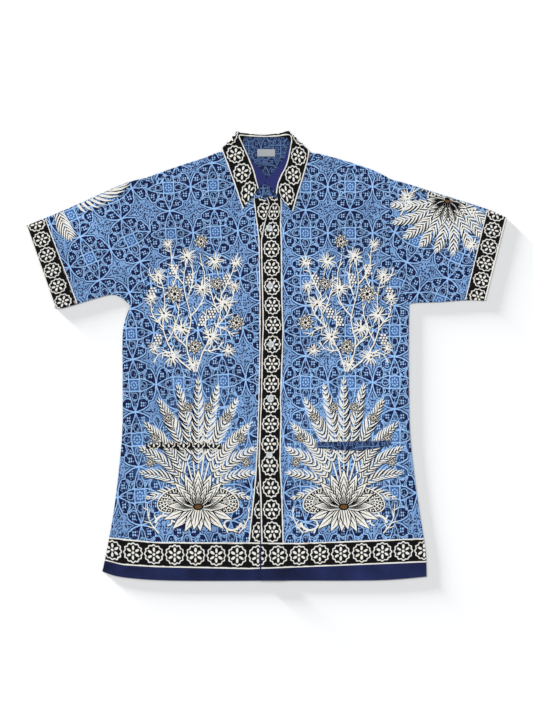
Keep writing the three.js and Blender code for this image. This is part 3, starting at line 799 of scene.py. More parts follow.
# Faces between rows of points, turned so that they face out of the rows' left-hand side
def gridFaces(rows, columns, flip=False):
    faces = []
    for i in range(rows - 1):
        for j in range(columns - 1):
            face = (i * columns + j, (i + 1) * columns + j, (i + 1) * columns + j + 1, i * columns + j + 1)
            faces.append(face[::-1] if flip else face)
    return faces


hemLine = [(-285.4, 17.0), (-249.4, 7.0), (-161.9, 1.1), (60.4, 1.1), (200.4, 1.8), (281.5, 8.0)]
sideLines = {
    "right": [(-277.4, 54), (-265.1, 124), (-256.4, 194), (-250.4, 264), (-249.9, 360), (-249.0, 439)],
    "left": [(279.4, 54), (268.6, 124), (259.0, 194), (252.2, 264), (250.3, 360), (250.2, 439)],
}
armholes = {  # from the underarm up to the shoulder fold
    "right": [
        (-236.0, 482.0), (-216.7, 504.0), (-206.6, 530.0), (-201.0, 565.0), (-200.0, 605.0),
        (-203.3, 645.0), (-210.0, 705.0),
    ],
    "left": [
        (251.0, 484.0), (238.9, 512.8), (224.0, 547.8), (215.6, 589.8), (215.2, 621.2),
        (217.0, 651.0), (221.4, 702.0),
    ],
}
shoulders = {  # folds along the shoulders, from the armhole to the neck
    "right": [(-210.0, 705.0), (-149.6, 726.6), (-105.9, 740.6), (-84.0, 749.5), (-66.0, 751.0)],
    "left": [(221.4, 702.0), (186.4, 719.6), (142.6, 734.1), (95.4, 747.0), (66.0, 750.5)],
}
backNeck = [(-40.0, 748.0), (-10.0, 746.0), (20.0, 746.0), (42.0, 749.5)]
neckEdges = {  # from the front edge up to the shoulder seam
    "right": [(18.5, 678.0), (9.0, 690.0), (-3.0, 701.0), (-28.0, 709.0), (-47.0, 722.0)],
    "left": [(1.9, 670.0), (10.0, 673.0), (21.0, 669.5), (34.0, 682.0), (50.0, 708.0)],
}
frontEdges = {  # from the hem up to the neck
    "right": [(22.0, 1.1), (22.0, 618.0), (18.5, 678.0)],
    "left": [
        (-10.0, 1.1), (-9.4, 100), (-12.0, 212), (-8.6, 317), (-7.0, 413), (-7.6, 500),
        (-9.0, 579), (-3.3, 622), (5.0, 650), (1.9, 670),
    ],
}
shoulderDrop = 10
foldSteps = 7


def armholeUp(side):
    below, top = np.array(armholes[side][-2:])
    return unit(top - below)


def armholeCurve(side, short):  # from the underarm to just short of the shoulder seam
    points = np.array(armholes[side], float)
    points[-1] -= armholeUp(side) * (shoulderDrop + short)
    return evenly(points)


def shoulderSeam(side, drop):
    return evenly(shoulders[side]) - armholeUp(side) * drop


def hemBetween(start, end):
    between = [p for p in hemLine if start[0] + 1 < p[0] < end[0] - 1]
    return evenly([start, *between, end])


def closedOutline(*edges):
    points = np.concatenate(edges)
    keep = np.linalg.norm(points - np.roll(points, 1, axis=0), axis=1) > 0.05
    return points[keep]


def frontOutline(side):
    gap = cloth["seamGap"]
    seam = shoulderSeam(side, shoulderDrop + gap)
    neck = evenly([*neckEdges[side], tuple(seam[-1])])
    armhole = armholeCurve(side, gap)
    if side == "right":
        corner = hemLine[0]
        hem = hemBetween(corner, frontEdges[side][0])
        edge = evenly(frontEdges[side])
        outer = evenly([corner, *sideLines[side], tuple(armhole[0])])
        return closedOutline(hem, edge, neck, seam[::-1], armhole[::-1], outer[::-1])
    corner = hemLine[-1]
    hem = hemBetween(frontEdges[side][0], corner)
    outer = evenly([corner, *sideLines[side], tuple(armhole[0])])
    return closedOutline(hem, outer, armhole, seam, neck[::-1], evenly(frontEdges[side])[::-1])


print("borders")

hemBand = {  # cream lines above and below the rosettes, and (number, x) of some rosettes
    "top": [(-272, 76.5), (-192, 68.5), (-20, 67.7), (60, 66.9), (280, 75.2)],
    "bottom": [(-280, 35.9), (-249, 28.0), (-192, 24.5), (-30, 21.0), (60, 24.2), (285, 33.2)],
    "places": [(0, -268), (7, -13.1), (8, 22.2), (15, 277.4)],
    "pitch": 36.5,  # beyond the first and last place
}
placketBand = {  # the left front's border: its two edges, and (number, y) of some rosettes
    "left": [
        (2.0, 670), (6.0, 662), (1.9, 639.5), (-3.3, 622), (-6.0, 605.8), (-8.2, 596.8),
        (-5.8, 491.8), (-4.8, 446), (-6.3, 413), (-7.9, 316.8), (-9.5, 281.8), (-12.2, 211.8),
        (-8.9, 141.8), (-7.0, 60),
    ],
    "right": [
        (27.0, 672), (28.0, 652.8), (26.8, 632.6), (28.4, 596.8), (29.4, 491.8), (31.4, 446),
        (30.8, 413), (27.0, 316.8), (28.0, 281.8), (26.3, 211.8), (29.6, 141.8), (32.0, 60),
    ],
    "places": [(-1, 680.0), (0, 646.1), (4, 515.6), (8, 380.1), (12, 240.3), (16, 87.0), (17, 47)],
    "rise": {"end": 27, "run": 14},  # where the left front comes down from the right one
}
underPlacket = {  # the right front's border, seen only as a strip beside the left front
    "left": [
        (-20.8, 665), (-18.2, 647.5), (-12.3, 596.8), (-10.5, 491.8), (-10.5, 413), (-12.4, 316.8),
        (-14.5, 246.8), (-18.4, 176.8), (-22.2, 141.8), (-29.6, 70), (-31, 55),
    ],
    "width": 37,
}


def trackX(table, y):
    rows = np.array(sorted(table, key=lambda p: p[1]), float)
    return np.interp(y, rows[:, 1], rows[:, 0])


def trackY(table, x):
    rows = np.array(table, float)
    return np.interp(x, rows[:, 0], rows[:, 1])


def hemUv(plan):
    top, bottom = trackY(hemBand["top"], plan[:, 0]), trackY(hemBand["bottom"], plan[:, 0])
    index, place = np.array(hemBand["places"], float).T
    x, pitch = plan[:, 0], hemBand["pitch"]
    along = np.interp(x, place, index)
    along = np.where(x < place[0], index[0] + (x - place[0]) / pitch, along)
    along = np.where(x > place[-1], index[-1] + (x - place[-1]) / pitch, along)
    return np.column_stack([along + 0.5, (plan[:, 1] - bottom) / (top - bottom) - 0.5])


def rosettesDown(plan, left, width):  # both plackets' rosettes, counted from the neck down
    index, place = np.array(placketBand["places"], float).T
    along = np.interp(plan[:, 1], place[::-1], index[::-1])
    return np.column_stack([along + 0.5, (plan[:, 0] - left) / width - 0.5])


def placketUv(plan):
    left = trackX(placketBand["left"], plan[:, 1])
    right = trackX(placketBand["right"], plan[:, 1])
    return rosettesDown(plan, left, right - left)


def underPlacketUv(plan):
    return rosettesDown(plan, trackX(underPlacket["left"], plan[:, 1]), underPlacket["width"])


def latticeUv(centre, angle, stretch=0.0, size=(78.0, 82.3)):
    turn = math.radians(angle)
    across = np.array([math.cos(turn), math.sin(turn)])
    up = np.array([-math.sin(turn), math.cos(turn)])

    def uv(plan):
        x = (plan - centre) @ across / size[0]
        y = (plan - centre) @ up / size[1]
        return np.column_stack([x + 20.5, y * (1 + stretch * y) + 20.5])
    return uv


def stripBetween(table, lowY, highY, otherTable=None, offset=0.0):
    ys = np.arange(lowY, highY + 0.01, 5.0)
    near = np.column_stack([trackX(table, ys), ys])
    farX = trackX(otherTable, ys) if otherTable else trackX(table, ys) + offset
    return np.concatenate([near, np.column_stack([farX, ys])[::-1]])


def hemRegions():  # the navy strip and the rosettes above it, as bands between three lines
    xs = np.arange(-300, 300.01, 6.0)
    levels = (xs * 0 - 20, trackY(hemBand["bottom"], xs), trackY(hemBand["top"], xs))
    lines = [np.column_stack([xs, level]) for level in levels]
    bands = [np.concatenate([low, high[::-1]]) for low, high in zip(lines, lines[1:])]
    return list(zip(("navy", "hem"), bands))


print("flowers and fronds on the fronts and sleeves")


class Drawing:  # outlines in plan millimetres, drawn from the bottom up in three coats
    def __init__(self, seed):
        self.under, self.over, self.detail = [], [], []
        self.random = random.Random(seed)

    def regions(self, mirror=None):
        shapes = self.under + self.over + self.detail
        if mirror is None:
            return shapes
        return [(kind, (outline * (-1, 1) + (2 * mirror, 0))[::-1]) for kind, outline in shapes]

    # A line of changing width. Its shadow lies under all of the drawing or, where it's crisp,
    # in the same coat, over what was drawn before.
    def stroke(self, points, widths, kind="cream", coat=None, shadow=0.0, crisp=False):
        points = np.array(points, float)
        run = np.gradient(points, axis=0)
        run /= np.maximum(np.linalg.norm(run, axis=1), 1e-6)[:, None]
        side = np.column_stack([-run[:, 1], run[:, 0]]) * np.array(widths)[:, None] / 2
        outline = np.concatenate([points - side, (points + side)[::-1]])
        outline = outline[np.linalg.norm(outline - np.roll(outline, 1, axis=0), axis=1) > 0.06]
        coat = self.over if coat is None else coat
        if shadow:
            (coat if crisp else self.under).append(("ink", outline + (shadow, -shadow)))
        coat.append((kind, outline))

    def blade(self, start, angle, length, width, bend=0.0, shadow=0.0, crisp=False):
        share = np.array([0, 0.3, 0.65, 1.0])
        turn = math.radians(angle) + math.radians(bend) * share
        points = np.array(start) + length * share[:, None] * np.column_stack([np.cos(turn), np.sin(turn)])
        self.stroke(points, width * np.array([0.75, 1.0, 0.8, 0.12]), shadow=shadow, crisp=crisp)

    def oval(self, centre, long, short, angle=0.0, kind="cream", coat=None, count=9):
        t = np.arange(count) / count * 2 * math.pi
        cosine, sine = math.cos(math.radians(angle)), math.sin(math.radians(angle))
        x, y = long * np.cos(t), short * np.sin(t)
        across, up = centre[0] + x * cosine - y * sine, centre[1] + x * sine + y * cosine
        (self.over if coat is None else coat).append((kind, np.column_stack([across, up])))

    def almond(self, start, angle, length, width, kind="cream", coat=None):
        share = np.array([0, 0.2, 0.45, 0.72, 1.0])
        direction = np.array([math.cos(math.radians(angle)), math.sin(math.radians(angle))])
        points = np.array(start) + length * share[:, None] * direction
        self.stroke(points, width * np.array([0.1, 0.72, 1.0, 0.68, 0.04]), kind, coat)

    def aster(self, x, y, size, lean=0.0):
        rays = 15
        for k in range(rays):
            turn = 2 * math.pi * k / rays + self.random.uniform(-0.12, 0.12)
            start = (x + size * 0.26 * math.cos(turn), y + size * 0.26 * math.sin(turn))
            reach = size * self.random.uniform(0.6, 0.96)
            bend = self.random.uniform(-26, 26)
            self.blade(start, math.degrees(turn), reach, size * 0.115, bend=bend, shadow=1.2)
        self.oval((x, y), size * 0.36, size * 0.31)
        eye = (x + size * 0.16 * math.cos(lean), y + size * 0.16 * math.sin(lean))
        self.oval(eye, size * 0.15, size * 0.11, 40, "ink", self.detail, 6)

    def starBloom(self, x, y, size):
        for reach, first in ((1.0, 10), (0.72, 32)):
            for k in range(8):
                angle = 45 * k + first
                self.almond((x, y), angle, size * reach + 1.6, size * 0.42 + 1.6, "ink", self.detail)
                self.almond((x, y), angle, size * reach, size * 0.36, "cream", self.detail)
                turn = math.radians(angle)
                start = (x + size * 0.3 * math.cos(turn), y + size * 0.3 * math.sin(turn))
                kind = "gold" if k % 2 else "ink"
                self.almond(start, angle, size * reach * 0.5, size * 0.15, kind, self.detail)
        self.oval((x, y), size * 0.2, size * 0.2, kind="ink", coat=self.detail, count=8)

    def berries(self, x, y, rows=4):
        for row in range(rows):
            for k in range(2 + row % 2):
                place = (x + (k - (1 + row % 2) / 2) * 5.2 + row * 0.8, y - row * 4.6)
                self.oval((place[0] + 0.7, place[1] - 0.7), 2.9, 2.9, kind="shade", coat=self.under, count=7)
                self.oval(place, 2.1, 2.1, count=7)

    def twig(self, points, width=2.4, spurs=5):
        line = curved(points, max(5, round(lengthOf(points) / 12)))
        line[1:-1] += [[self.random.uniform(-1.1, 1.1), 0] for _ in line[1:-1]]
        self.stroke(line, np.linspace(width, width * 0.5, len(line)), shadow=1.0)
        ahead = math.degrees(math.atan2(*(line[-1] - line[0])[::-1]))
        for k in range(spurs):
            at = line[1 + k * (len(line) - 2) // spurs]
            angle = ahead + (46 if k % 2 else -42) + self.random.uniform(-12, 12)
            self.blade(at, angle, self.random.uniform(8, 15), 1.9, shadow=1.1)

    # A curved rib with paired leaflets that grow shorter towards the tip
    def fern(self, base, tip, sway=0.0, leaf=19.0, first=0.1, apart=7.0):
        base, tip = np.array(base, float), np.array(tip, float)
        run = tip - base
        length = np.linalg.norm(run)
        side = np.array([-run[1], run[0]]) / length
        rib = curved([base, (base + tip) / 2 + side * sway, tip], 40)
        self.stroke(rib[::4], np.linspace(2.6, 1.2, 11), shadow=0.7)
        pairs = int(length * (1 - first) / apart)
        for k in range(pairs):
            share = first + (1 - first) * (k + 0.5) / pairs
            step = min(39, int(share * 40))
            at = rib[step]
            angle = math.degrees(math.atan2(*(rib[step + 1] - rib[step])[::-1]))
            fullness = min(1, 0.45 + share * 1.6) * min(1, 0.35 + (1 - share) * 2.4)
            for sign in (-1, 1):  # each leaflet over the shadow of the one before
                reach = leaf * fullness * self.random.uniform(0.85, 1.12)
                turn = angle + sign * (54 - 12 * share)
                self.blade(at, turn, reach, 2.7, bend=-sign * 16, shadow=1.6, crisp=True)
        ahead = math.degrees(math.atan2(*(rib[-1] - rib[-2])[::-1]))
        self.blade(rib[-1], ahead, leaf * 0.4, 2.0, shadow=1.0)

    # One petal in ink outline with veins
    def petal(self, start, angle, reach, width, veins=5):
        turn = math.radians(angle)
        ahead = np.array([math.cos(turn), math.sin(turn)])
        across = np.array([-math.sin(turn), math.cos(turn)])
        start = np.array(start, float)
        self.almond(start, angle, reach + 2.4, width + 3.8, "ink", self.detail)
        self.almond(start, angle, reach, width, "cream", self.detail)
        for k in range(veins):
            off = (k - (veins - 1) / 2) / max(1, veins - 1)
            low = start + ahead * reach * 0.16 + across * width * off * 0.45
            high = start + ahead * reach * (0.84 - 0.3 * abs(off)) + across * width * off * 0.62
            self.stroke([low, (low + high) / 2, high], [1.1, 1.9, 0.7], "ink", self.detail)

    # Layered petals opening from a base, the outer ones first
    def lotus(self, x, y, length, count=9, spread=22.0, facing=90.0):
        for layer, scale in enumerate((1.0, 0.8, 0.6, 0.42)):
            petals = max(3, count - 2 * layer)
            for k in sorted(range(petals), key=lambda place: -abs(place - (petals - 1) / 2)):
                off = k - (petals - 1) / 2
                reach = length * scale * (1 - 0.045 * abs(off))
                self.petal((x, y), facing + off * spread, reach, reach * 0.3, veins=5 if layer < 2 else 3)
        self.oval((x, y), length * 0.15, length * 0.1, 0, "ink", self.detail)
        self.oval((x, y), length * 0.1, length * 0.06, 0, "gold", self.detail)

    # A round leaf in ink with pale ribs and rows of pale dots
    def pad(self, x, y, long, short, tilt):
        cosine, sine = math.cos(math.radians(tilt)), math.sin(math.radians(tilt))

        def at(share, turn):
            a, b = long * share * math.cos(turn), short * share * math.sin(turn)
            return np.array([x + a * cosine - b * sine, y + a * sine + b * cosine])

        self.oval((x, y), long + 1.8, short + 1.8, tilt, "cream", self.detail, 22)
        self.oval((x, y), long, short, tilt, "ink", self.detail, 22)
        for k in range(16):
            turn = 2 * math.pi * (k + 0.3) / 16
            line = [at(0.15, turn), at(0.55, turn + 0.06), at(0.95, turn)]
            self.stroke(line, [1.0, 1.5, 2.2], "cream", self.detail)
            for share in (0.5, 0.68, 0.86):
                dot = at(share, turn + math.pi / 16)
                self.oval(dot, 1.5, 1.5, 0, "cream", self.detail, 6)

    def scroll(self, x, y, size, sign=1):
        share = np.linspace(0, 1, 12)
        turn = sign * share * 4.4 + (0 if sign > 0 else math.pi)
        radius = size * (1 - 0.72 * share)
        centre = np.array([x + sign * size * 0.4, y])
        points = centre + np.column_stack([radius * np.cos(turn) * 1.15, radius * np.sin(turn) * sign])
        self.stroke(points, np.linspace(4.4, 2.0, 12), shadow=1.0)
        for k in (1, 3, 5, 7):
            outward = math.degrees(math.atan2(*(points[k] - centre)[::-1]))
            self.blade(points[k], outward + 20 * sign, size * 0.55, 2.8, bend=25 * sign, shadow=1.0)


placketMiddle = 9.6  # the fronts' drawing mirrors about this x
fan = {  # on the left front
    "middle": 137,
    "foot": 152,
    "ferns": [  # to each side: tip from the middle of the foot, sway, longest leaflet, bare share
        (88, -6, 8, 15, 0.3), (97, 38, 9, 19, 0.24), (98, 80, 9, 21, 0.22),
        (90, 122, 8, 22, 0.22), (66, 162, 7, 22, 0.26), (34, 188, 4, 21, 0.3),
    ],
    "tallest": 198,
    "stars": [(18, 152), (52, 134), (76, 98), (84, 56)],
    "pads": [(97, 142, 32, 19, 24), (177, 142, 32, 19, -24)],  # x, y, radii, tilt
    "leaves": [  # direction in degrees and length, round the lotus's foot
        (202, 64), (338, 64), (222, 60), (318, 60), (243, 50), (297, 50), (265, 44), (280, 42),
    ],
    "scrolls": [(88, 102, 17, -1), (186, 102, 17, 1)],  # x, y, size, turn
}
spray = {
    "twigs": [
        [(206, 84), (222, 104), (226, 136)],
        [(66, 84), (52, 102), (48, 130)],
        [(140, 366), (128, 404), (104, 446), (97, 500), (106, 552)],
        [(144, 366), (158, 410), (150, 464), (163, 520), (152, 584)],
        [(150, 370), (182, 400), (199, 444), (196, 500), (208, 548)],
        [(104, 446), (84, 470), (74, 512)],
        [(97, 500), (78, 540), (68, 574)],
        [(150, 464), (130, 490), (126, 532), (134, 574)],
        [(163, 520), (182, 548), (186, 588)],
        [(199, 444), (216, 466), (222, 494)],
        [(128, 404), (108, 404), (92, 418)],
        [(182, 400), (204, 398), (216, 382)],
        [(118, 424), (124, 452), (122, 476)],
        [(158, 410), (176, 430), (178, 452)],
        [(101, 470), (114, 500), (118, 536)],
        [(196, 500), (180, 520), (172, 552)],
        [(154, 500), (146, 530), (148, 560)],
        [(190, 420), (176, 448), (170, 486)],
        [(106, 446), (90, 440), (74, 428)],
        [(203, 520), (220, 536), (226, 560)],
    ],
    "asters": [  # x, y, size
        (113, 428, 17), (92, 486, 18), (108, 560, 16), (166, 442, 18), (130, 512, 17),
        (156, 568, 16), (196, 466, 17), (206, 534, 15), (182, 392, 17), (70, 558, 13),
        (84, 404, 13), (219, 494, 12), (146, 380, 14), (74, 516, 12), (190, 590, 11), (214, 408, 11),
    ],
    "stars": [(178, 502, 17), (142, 410, 14), (70, 452, 15), (132, 594, 13), (104, 520, 12)],
    "berries": [
        (150, 536), (112, 476), (178, 552), (86, 534), (206, 430), (128, 462), (216, 512),
    ],
}


def drawFront():
    drawing = Drawing(7)
    middle, foot = fan["middle"], fan["foot"]
    for across, up, sway, leaf, first in fan["ferns"]:
        for sign in (-1, 1):
            base = (middle + sign * across * 0.12, foot + up * 0.1)
            drawing.fern(base, (middle + sign * across, foot + up), sign * sway, leaf, first)
    drawing.fern((middle, foot), (middle, foot + fan["tallest"]), 0, 22, 0.26)
    for across, up in fan["stars"]:
        for sign in (-1, 1):
            drawing.starBloom(middle + sign * across, foot + up, 9)
    for row in fan["pads"]:
        drawing.pad(*row)
    for angle, reach in fan["leaves"]:
        drawing.petal((middle, foot - 20), angle, reach, 17, veins=3)
    drawing.lotus(middle, foot - 22, 64)
    for row in fan["scrolls"]:
        drawing.scroll(*row)
    for line in spray["twigs"]:
        drawing.twig(line)
    for x, y, size in spray["asters"]:
        drawing.aster(x, y, size, lean=x)
    for row in spray["stars"]:
        drawing.starBloom(*row)
    for x, y in spray["berries"]:
        drawing.berries(x, y)
    return drawing


def drawSleeve(side):
    drawing = Drawing(11 if side == "left" else 12)
    if side == "right":
        drawing.fern((-366, 664), (-342, 602), -3, 24, 0.05, 6.0)
        for k in range(11):  # long leaves along the shoulder fold
            start = (-330 + 6.5 * k, 664 + 3.0 * k)
            drawing.blade(start, -72 + 8.5 * k, 26 + 3.2 * k, 4.6, bend=22, shadow=1.4)
        return drawing
    foot = np.array([318, 668])
    for degrees, reach in (
        (186, 96), (204, 100), (222, 98), (240, 92), (258, 92), (276, 94), (294, 92), (312, 86),
        (328, 76),
    ):
        turn = math.radians(degrees)
        ahead = np.array([math.cos(turn), math.sin(turn)])
        drawing.fern(foot + ahead * 18, foot + ahead * reach, 5, 18)
    drawing.pad(318, 668, 34, 18, -16)
    drawing.lotus(318, 664, 42, count=7, spread=28, facing=258)
    drawing.scroll(356, 676, 14, 1)
    drawing.twig([(236, 640), (250, 664), (262, 690)])
    drawing.aster(246, 672, 15)
    drawing.aster(362, 588, 14)
    drawing.starBloom(280, 692, 12)
    drawing.berries(364, 650, 3)
    return drawing


# A paler wash lies round the drawings, strongest low on the shirt: (y, amount)
washLevels = [(130, 0.05), (190, 0.4), (340, 0.4), (400, 0.05)]


def washRound(regions):
    tree = KDTree(len(regions))
    for k, (_, outline) in enumerate(regions):
        tree.insert((*outline.mean(axis=0), 0), k)
    tree.balance()

    def wash(plan):
        distance = np.array([tree.find((x, y, 0))[2] for x, y in plan])
        return smooth(1.3 - distance / 11) * np.interp(plan[:, 1], *np.array(washLevels).T)
    return wash


print("fronts")


def frontHeight(plan, side):  # the left front rises over the right one at the placket
    height = liftedHeight(plan)
    if side == "left":
        rise = placketBand["rise"]
        height = height + cloth["layer"] * (1 - smooth((plan[:, 0] - rise["end"]) / rise["run"]))
    return height


def makeFront(side, art):
    outline = frontOutline(side)
    if side == "left":
        edge = stripBetween(frontEdges["left"], -10, 668, placketBand["left"])
        edge[:len(edge) // 2, 0] -= 3
        bands = [("placket", stripBetween(placketBand["left"], 40, 690, placketBand["right"]))]
        edges = [("navy", edge)]
        lattice = latticeUv((70.0, 608.7), 0.0, stretch=0.017)
    else:
        under = stripBetween(underPlacket["left"], 40, 672, offset=underPlacket["width"] + 30)
        # the right front's inside at the neck, in the lattice's darker copy: painted shade
        shadedNeckInside = [(-24, 680), (-17, 681), (1, 666), (30, 650), (30, 715), (-24, 715)]
        bands = [("underPlacket", under), ("inside", np.array(shadedNeckInside, float))]
        edges = []
        lattice = latticeUv((-165.4, 607.0), 3.0, stretch=0.017)
    flat, faces, names = cutCloth(outline, art + bands + hemRegions() + edges, cloth["spacing"])
    uvs = {"hem": hemUv, "placket": placketUv, "underPlacket": underPlacketUv}
    part = (np.column_stack([flat, frontHeight(flat, side)]), flat, faces, names)
    return sew(
        f"front_{side}_cloth", [part], lambda kind, plan: uvs.get(kind, lattice)(plan),
        [f"front_{side}"], washOf=washRound(art),
        plainUnder=lambda plan: frontHeight(plan, side),
    )


# Rows of points round a fold: from the underside at "centres" to the upper side
def foldRows(centres, outs, heights):
    rows = []
    for k in range(foldSteps + 1):
        turn = math.pi * (k / foldSteps - 0.5)
        reach = heights / 2 * math.cos(turn)
        z = heights / 2 * (1 + math.sin(turn))
        rows.append(np.column_stack([centres + outs * reach[:, None], z]))
    return rows


def stackRows(rows, plans, kindOf, flip=False):
    points, plan = np.concatenate(rows), np.concatenate(plans)
    faces = gridFaces(len(rows), len(rows[0]), flip)
    names = [kindOf(plan[list(face)].mean(axis=0)) for face in faces]
    return points, plan, faces, names


# The side that lies on the floor, turned down and cut more coarsely
def underPart(outline, regions):
    flat, faces, names = cutCloth(outline, regions, cloth["spacing"] * cloth["coarser"])
    return np.column_stack([flat, flat[:, 0] * 0]), flat, [face[::-1] for face in faces], names


def makeBack():
    seams, tops = {}, {}
    for side in ("right", "left"):
        up = armholeUp(side)
        edge = shoulderSeam(side, 0)
        height = liftedHeight(edge)
        centre = edge - up * height[:, None] / 2
        drop = edge - up * shoulderDrop
        rows = foldRows(centre, up, height)
        seamPoints = np.column_stack([drop, liftedHeight(drop)])
        rows.append(seamPoints)
        plans = [centre] * foldSteps + [centre, drop]
        seams[side] = centre
        tops[side] = stackRows(rows, plans, lambda place: "lattice", flip=side == "left")
    neck = evenly([tuple(seams["right"][-1]), *backNeck, tuple(seams["left"][-1])])
    hem = evenly(hemLine)
    right, left = armholeCurve("right", 0), armholeCurve("left", 0)
    rightSide = evenly([hemLine[0], *sideLines["right"], tuple(right[0])])
    leftSide = evenly([hemLine[-1], *sideLines["left"], tuple(left[0])])
    outline = closedOutline(
        hem, leftSide, left, seams["left"], neck[::-1], seams["right"][::-1], right[::-1], rightSide[::-1]
    )
    under = underPart(outline, hemRegions())
    lattice = latticeUv((0.0, 608.0), 0.0, stretch=0.017)
    # the back's inside, seen in the neck opening, gets the lattice's darker copy: painted shade
    return sew(
        "back_cloth", [under, *tops.values()],
        lambda kind, plan: hemUv(plan) if kind == "hem" else lattice(plan),
        ["back"], liningKind="inside",
    )


print("sleeves")

cuffs = {
    "right": {"edge": [(-368.5, 478.0), (-418.8, 621.3)], "band": [(-330.0, 484.8), (-386.0, 634.0)]},
    "left": {"edge": [(384.5, 490.5), (421.4, 635.6)], "band": [(350.2, 491.4), (388.7, 650.3)]},
}
sleeveEdges = {
    "right": {
        "under": [
            (-252.2, 495.8), (-268.8, 501.2), (-294.9, 495.2), (-329.2, 484.8), (-357.9, 476.9),
        ],
        "top": [(-250.4, 693.9), (-340.0, 654.0)],
        "lattice": {"centre": (-235.7, 596.2), "angle": 24},
        "rosettes": [(0, -400.6, 625.0), (5, -354.2, 489.0)],
    },
    "left": {
        "under": [(262.0, 486.8), (305.4, 488.2), (350.2, 491.4)],
        "top": [(251.1, 694.0), (298.4, 679.0), (388.7, 650.3)],
        "lattice": {"centre": (262.0, 596.0), "angle": -22},
        "rosettes": [(0, 403.6, 643.0), (5, 372.0, 497.7)],
    },
}


cuffBand = {"width": 39, "beyond": 40, "cloth": 80, "innerLine": 1.5, "outerLine": 2.2}


def acrossTowards(run, towards):  # the unit vector square to a run, on the side given
    across = unit(np.array([run[1], -run[0]]))
    return across if towards @ across > 0 else -across


def cuffUv(side):
    first, last = sleeveEdges[side]["rosettes"]
    start, end = np.array(first[1:]), np.array(last[1:])
    run = (end - start) / (last[0] - first[0])
    outwards = np.array(cuffs[side]["edge"][0]) - np.array(cuffs[side]["band"][0])
    outward = acrossTowards(run, outwards)

    def uv(plan):
        along = (plan - start) @ run / (run @ run)
        aside = np.clip((plan - start) @ outward / cuffBand["width"], -0.44, 0.44)
        return np.column_stack([along + 0.5, aside])
    return uv


def makeSleeve(side, art):
    sign = -1 if side == "right" else 1
    armhole = np.concatenate([armholeCurve(side, 0), [armholes[side][-1]]])
    run = np.gradient(armhole, axis=0)
    run /= np.linalg.norm(run, axis=1)[:, None]
    armhole = armhole + np.column_stack([run[:, 1], -run[:, 0]]) * cloth["seamGap"] * sign
    edge, band = cuffs[side]["edge"], cuffs[side]["band"]
    fine = evenly([tuple(armhole[0]), *sleeveEdges[side]["under"], edge[0]])
    topLine = evenly([tuple(armhole[-1]), *sleeveEdges[side]["top"], edge[1]])
    downward = unit(armhole[0] - armhole[1])
    cuffDown = unit(np.array(edge[0]) - np.array(edge[1]))
    upward = armholeUp(side)

    def insetLine(line, startOut, endOut):
        share = np.linspace(0, 1, len(line))[:, None]
        outs = mix(startOut, endOut, share)
        outs /= np.linalg.norm(outs, axis=1)[:, None]
        heights = liftedHeight(line)
        return line - outs * heights[:, None] / 2, outs, heights

    underCentre, underOut, underHeight = insetLine(fine, downward, cuffDown)
    topCentre, topOut, topHeight = insetLine(topLine, upward, -cuffDown)
    fromEnds = [np.linalg.norm(armhole - armhole[end], axis=1) for end in (0, -1)]
    inner = armhole[np.minimum(*fromEnds) > 3]
    hole = np.concatenate([[underCentre[0]], inner, [topCentre[0]]])
    cuffLine = evenly([tuple(underCentre[-1]), tuple(topCentre[-1])])
    outline = closedOutline(underCentre, cuffLine, topCentre[::-1], hole[::-1])
    outwards = unit(np.array(edge[0]) - np.array(band[0]))
    lowIn, highIn = np.array(band[0], float), np.array(band[1], float)
    along = unit(highIn - lowIn)
    start, end = lowIn - along * cuffBand["beyond"], highIn + along * cuffBand["beyond"]
    farOut = outwards * cuffBand["cloth"]
    cuffPolygon = np.concatenate([evenly([start, end]), evenly([end + farOut, start + farOut])])
    bands = [("cuff", cuffPolygon)]
    innerLine, outerLine = (start, end, cuffBand["innerLine"]), (*edge, cuffBand["outerLine"])
    for first, last, wide in (innerLine, outerLine):
        far = evenly([last, first]) - outwards * wide
        bands.append(("cream", np.concatenate([evenly([first, last]), far])))
    cuff, lattice = cuffUv(side), latticeUv(**sleeveEdges[side]["lattice"])
    flat, faces, names = cutCloth(outline, art + bands, cloth["spacing"])
    upper = (np.column_stack([flat, liftedHeight(flat)]), flat, faces, names)
    parts = [upper, underPart(outline, bands)]
    squareOut = acrossTowards(along, outwards)

    def kindAt(place):
        return "cuff" if (place - lowIn) @ squareOut > 0 else "lattice"

    for centre, outs, heights, flip in (
        (underCentre, underOut, underHeight, side == "left"),
        (topCentre, topOut, topHeight, side == "right"),
    ):
        rows = foldRows(centre, outs, heights)
        parts.append(stackRows(rows, [centre] * len(rows), kindAt, flip=flip))
    return sew(
        f"sleeve_{side}_cloth", parts,
        lambda kind, plan: cuff(plan) if kind == "cuff" else lattice(plan),
        [f"sleeve_{side}"], washOf=washRound(art),
    )


print("collar")

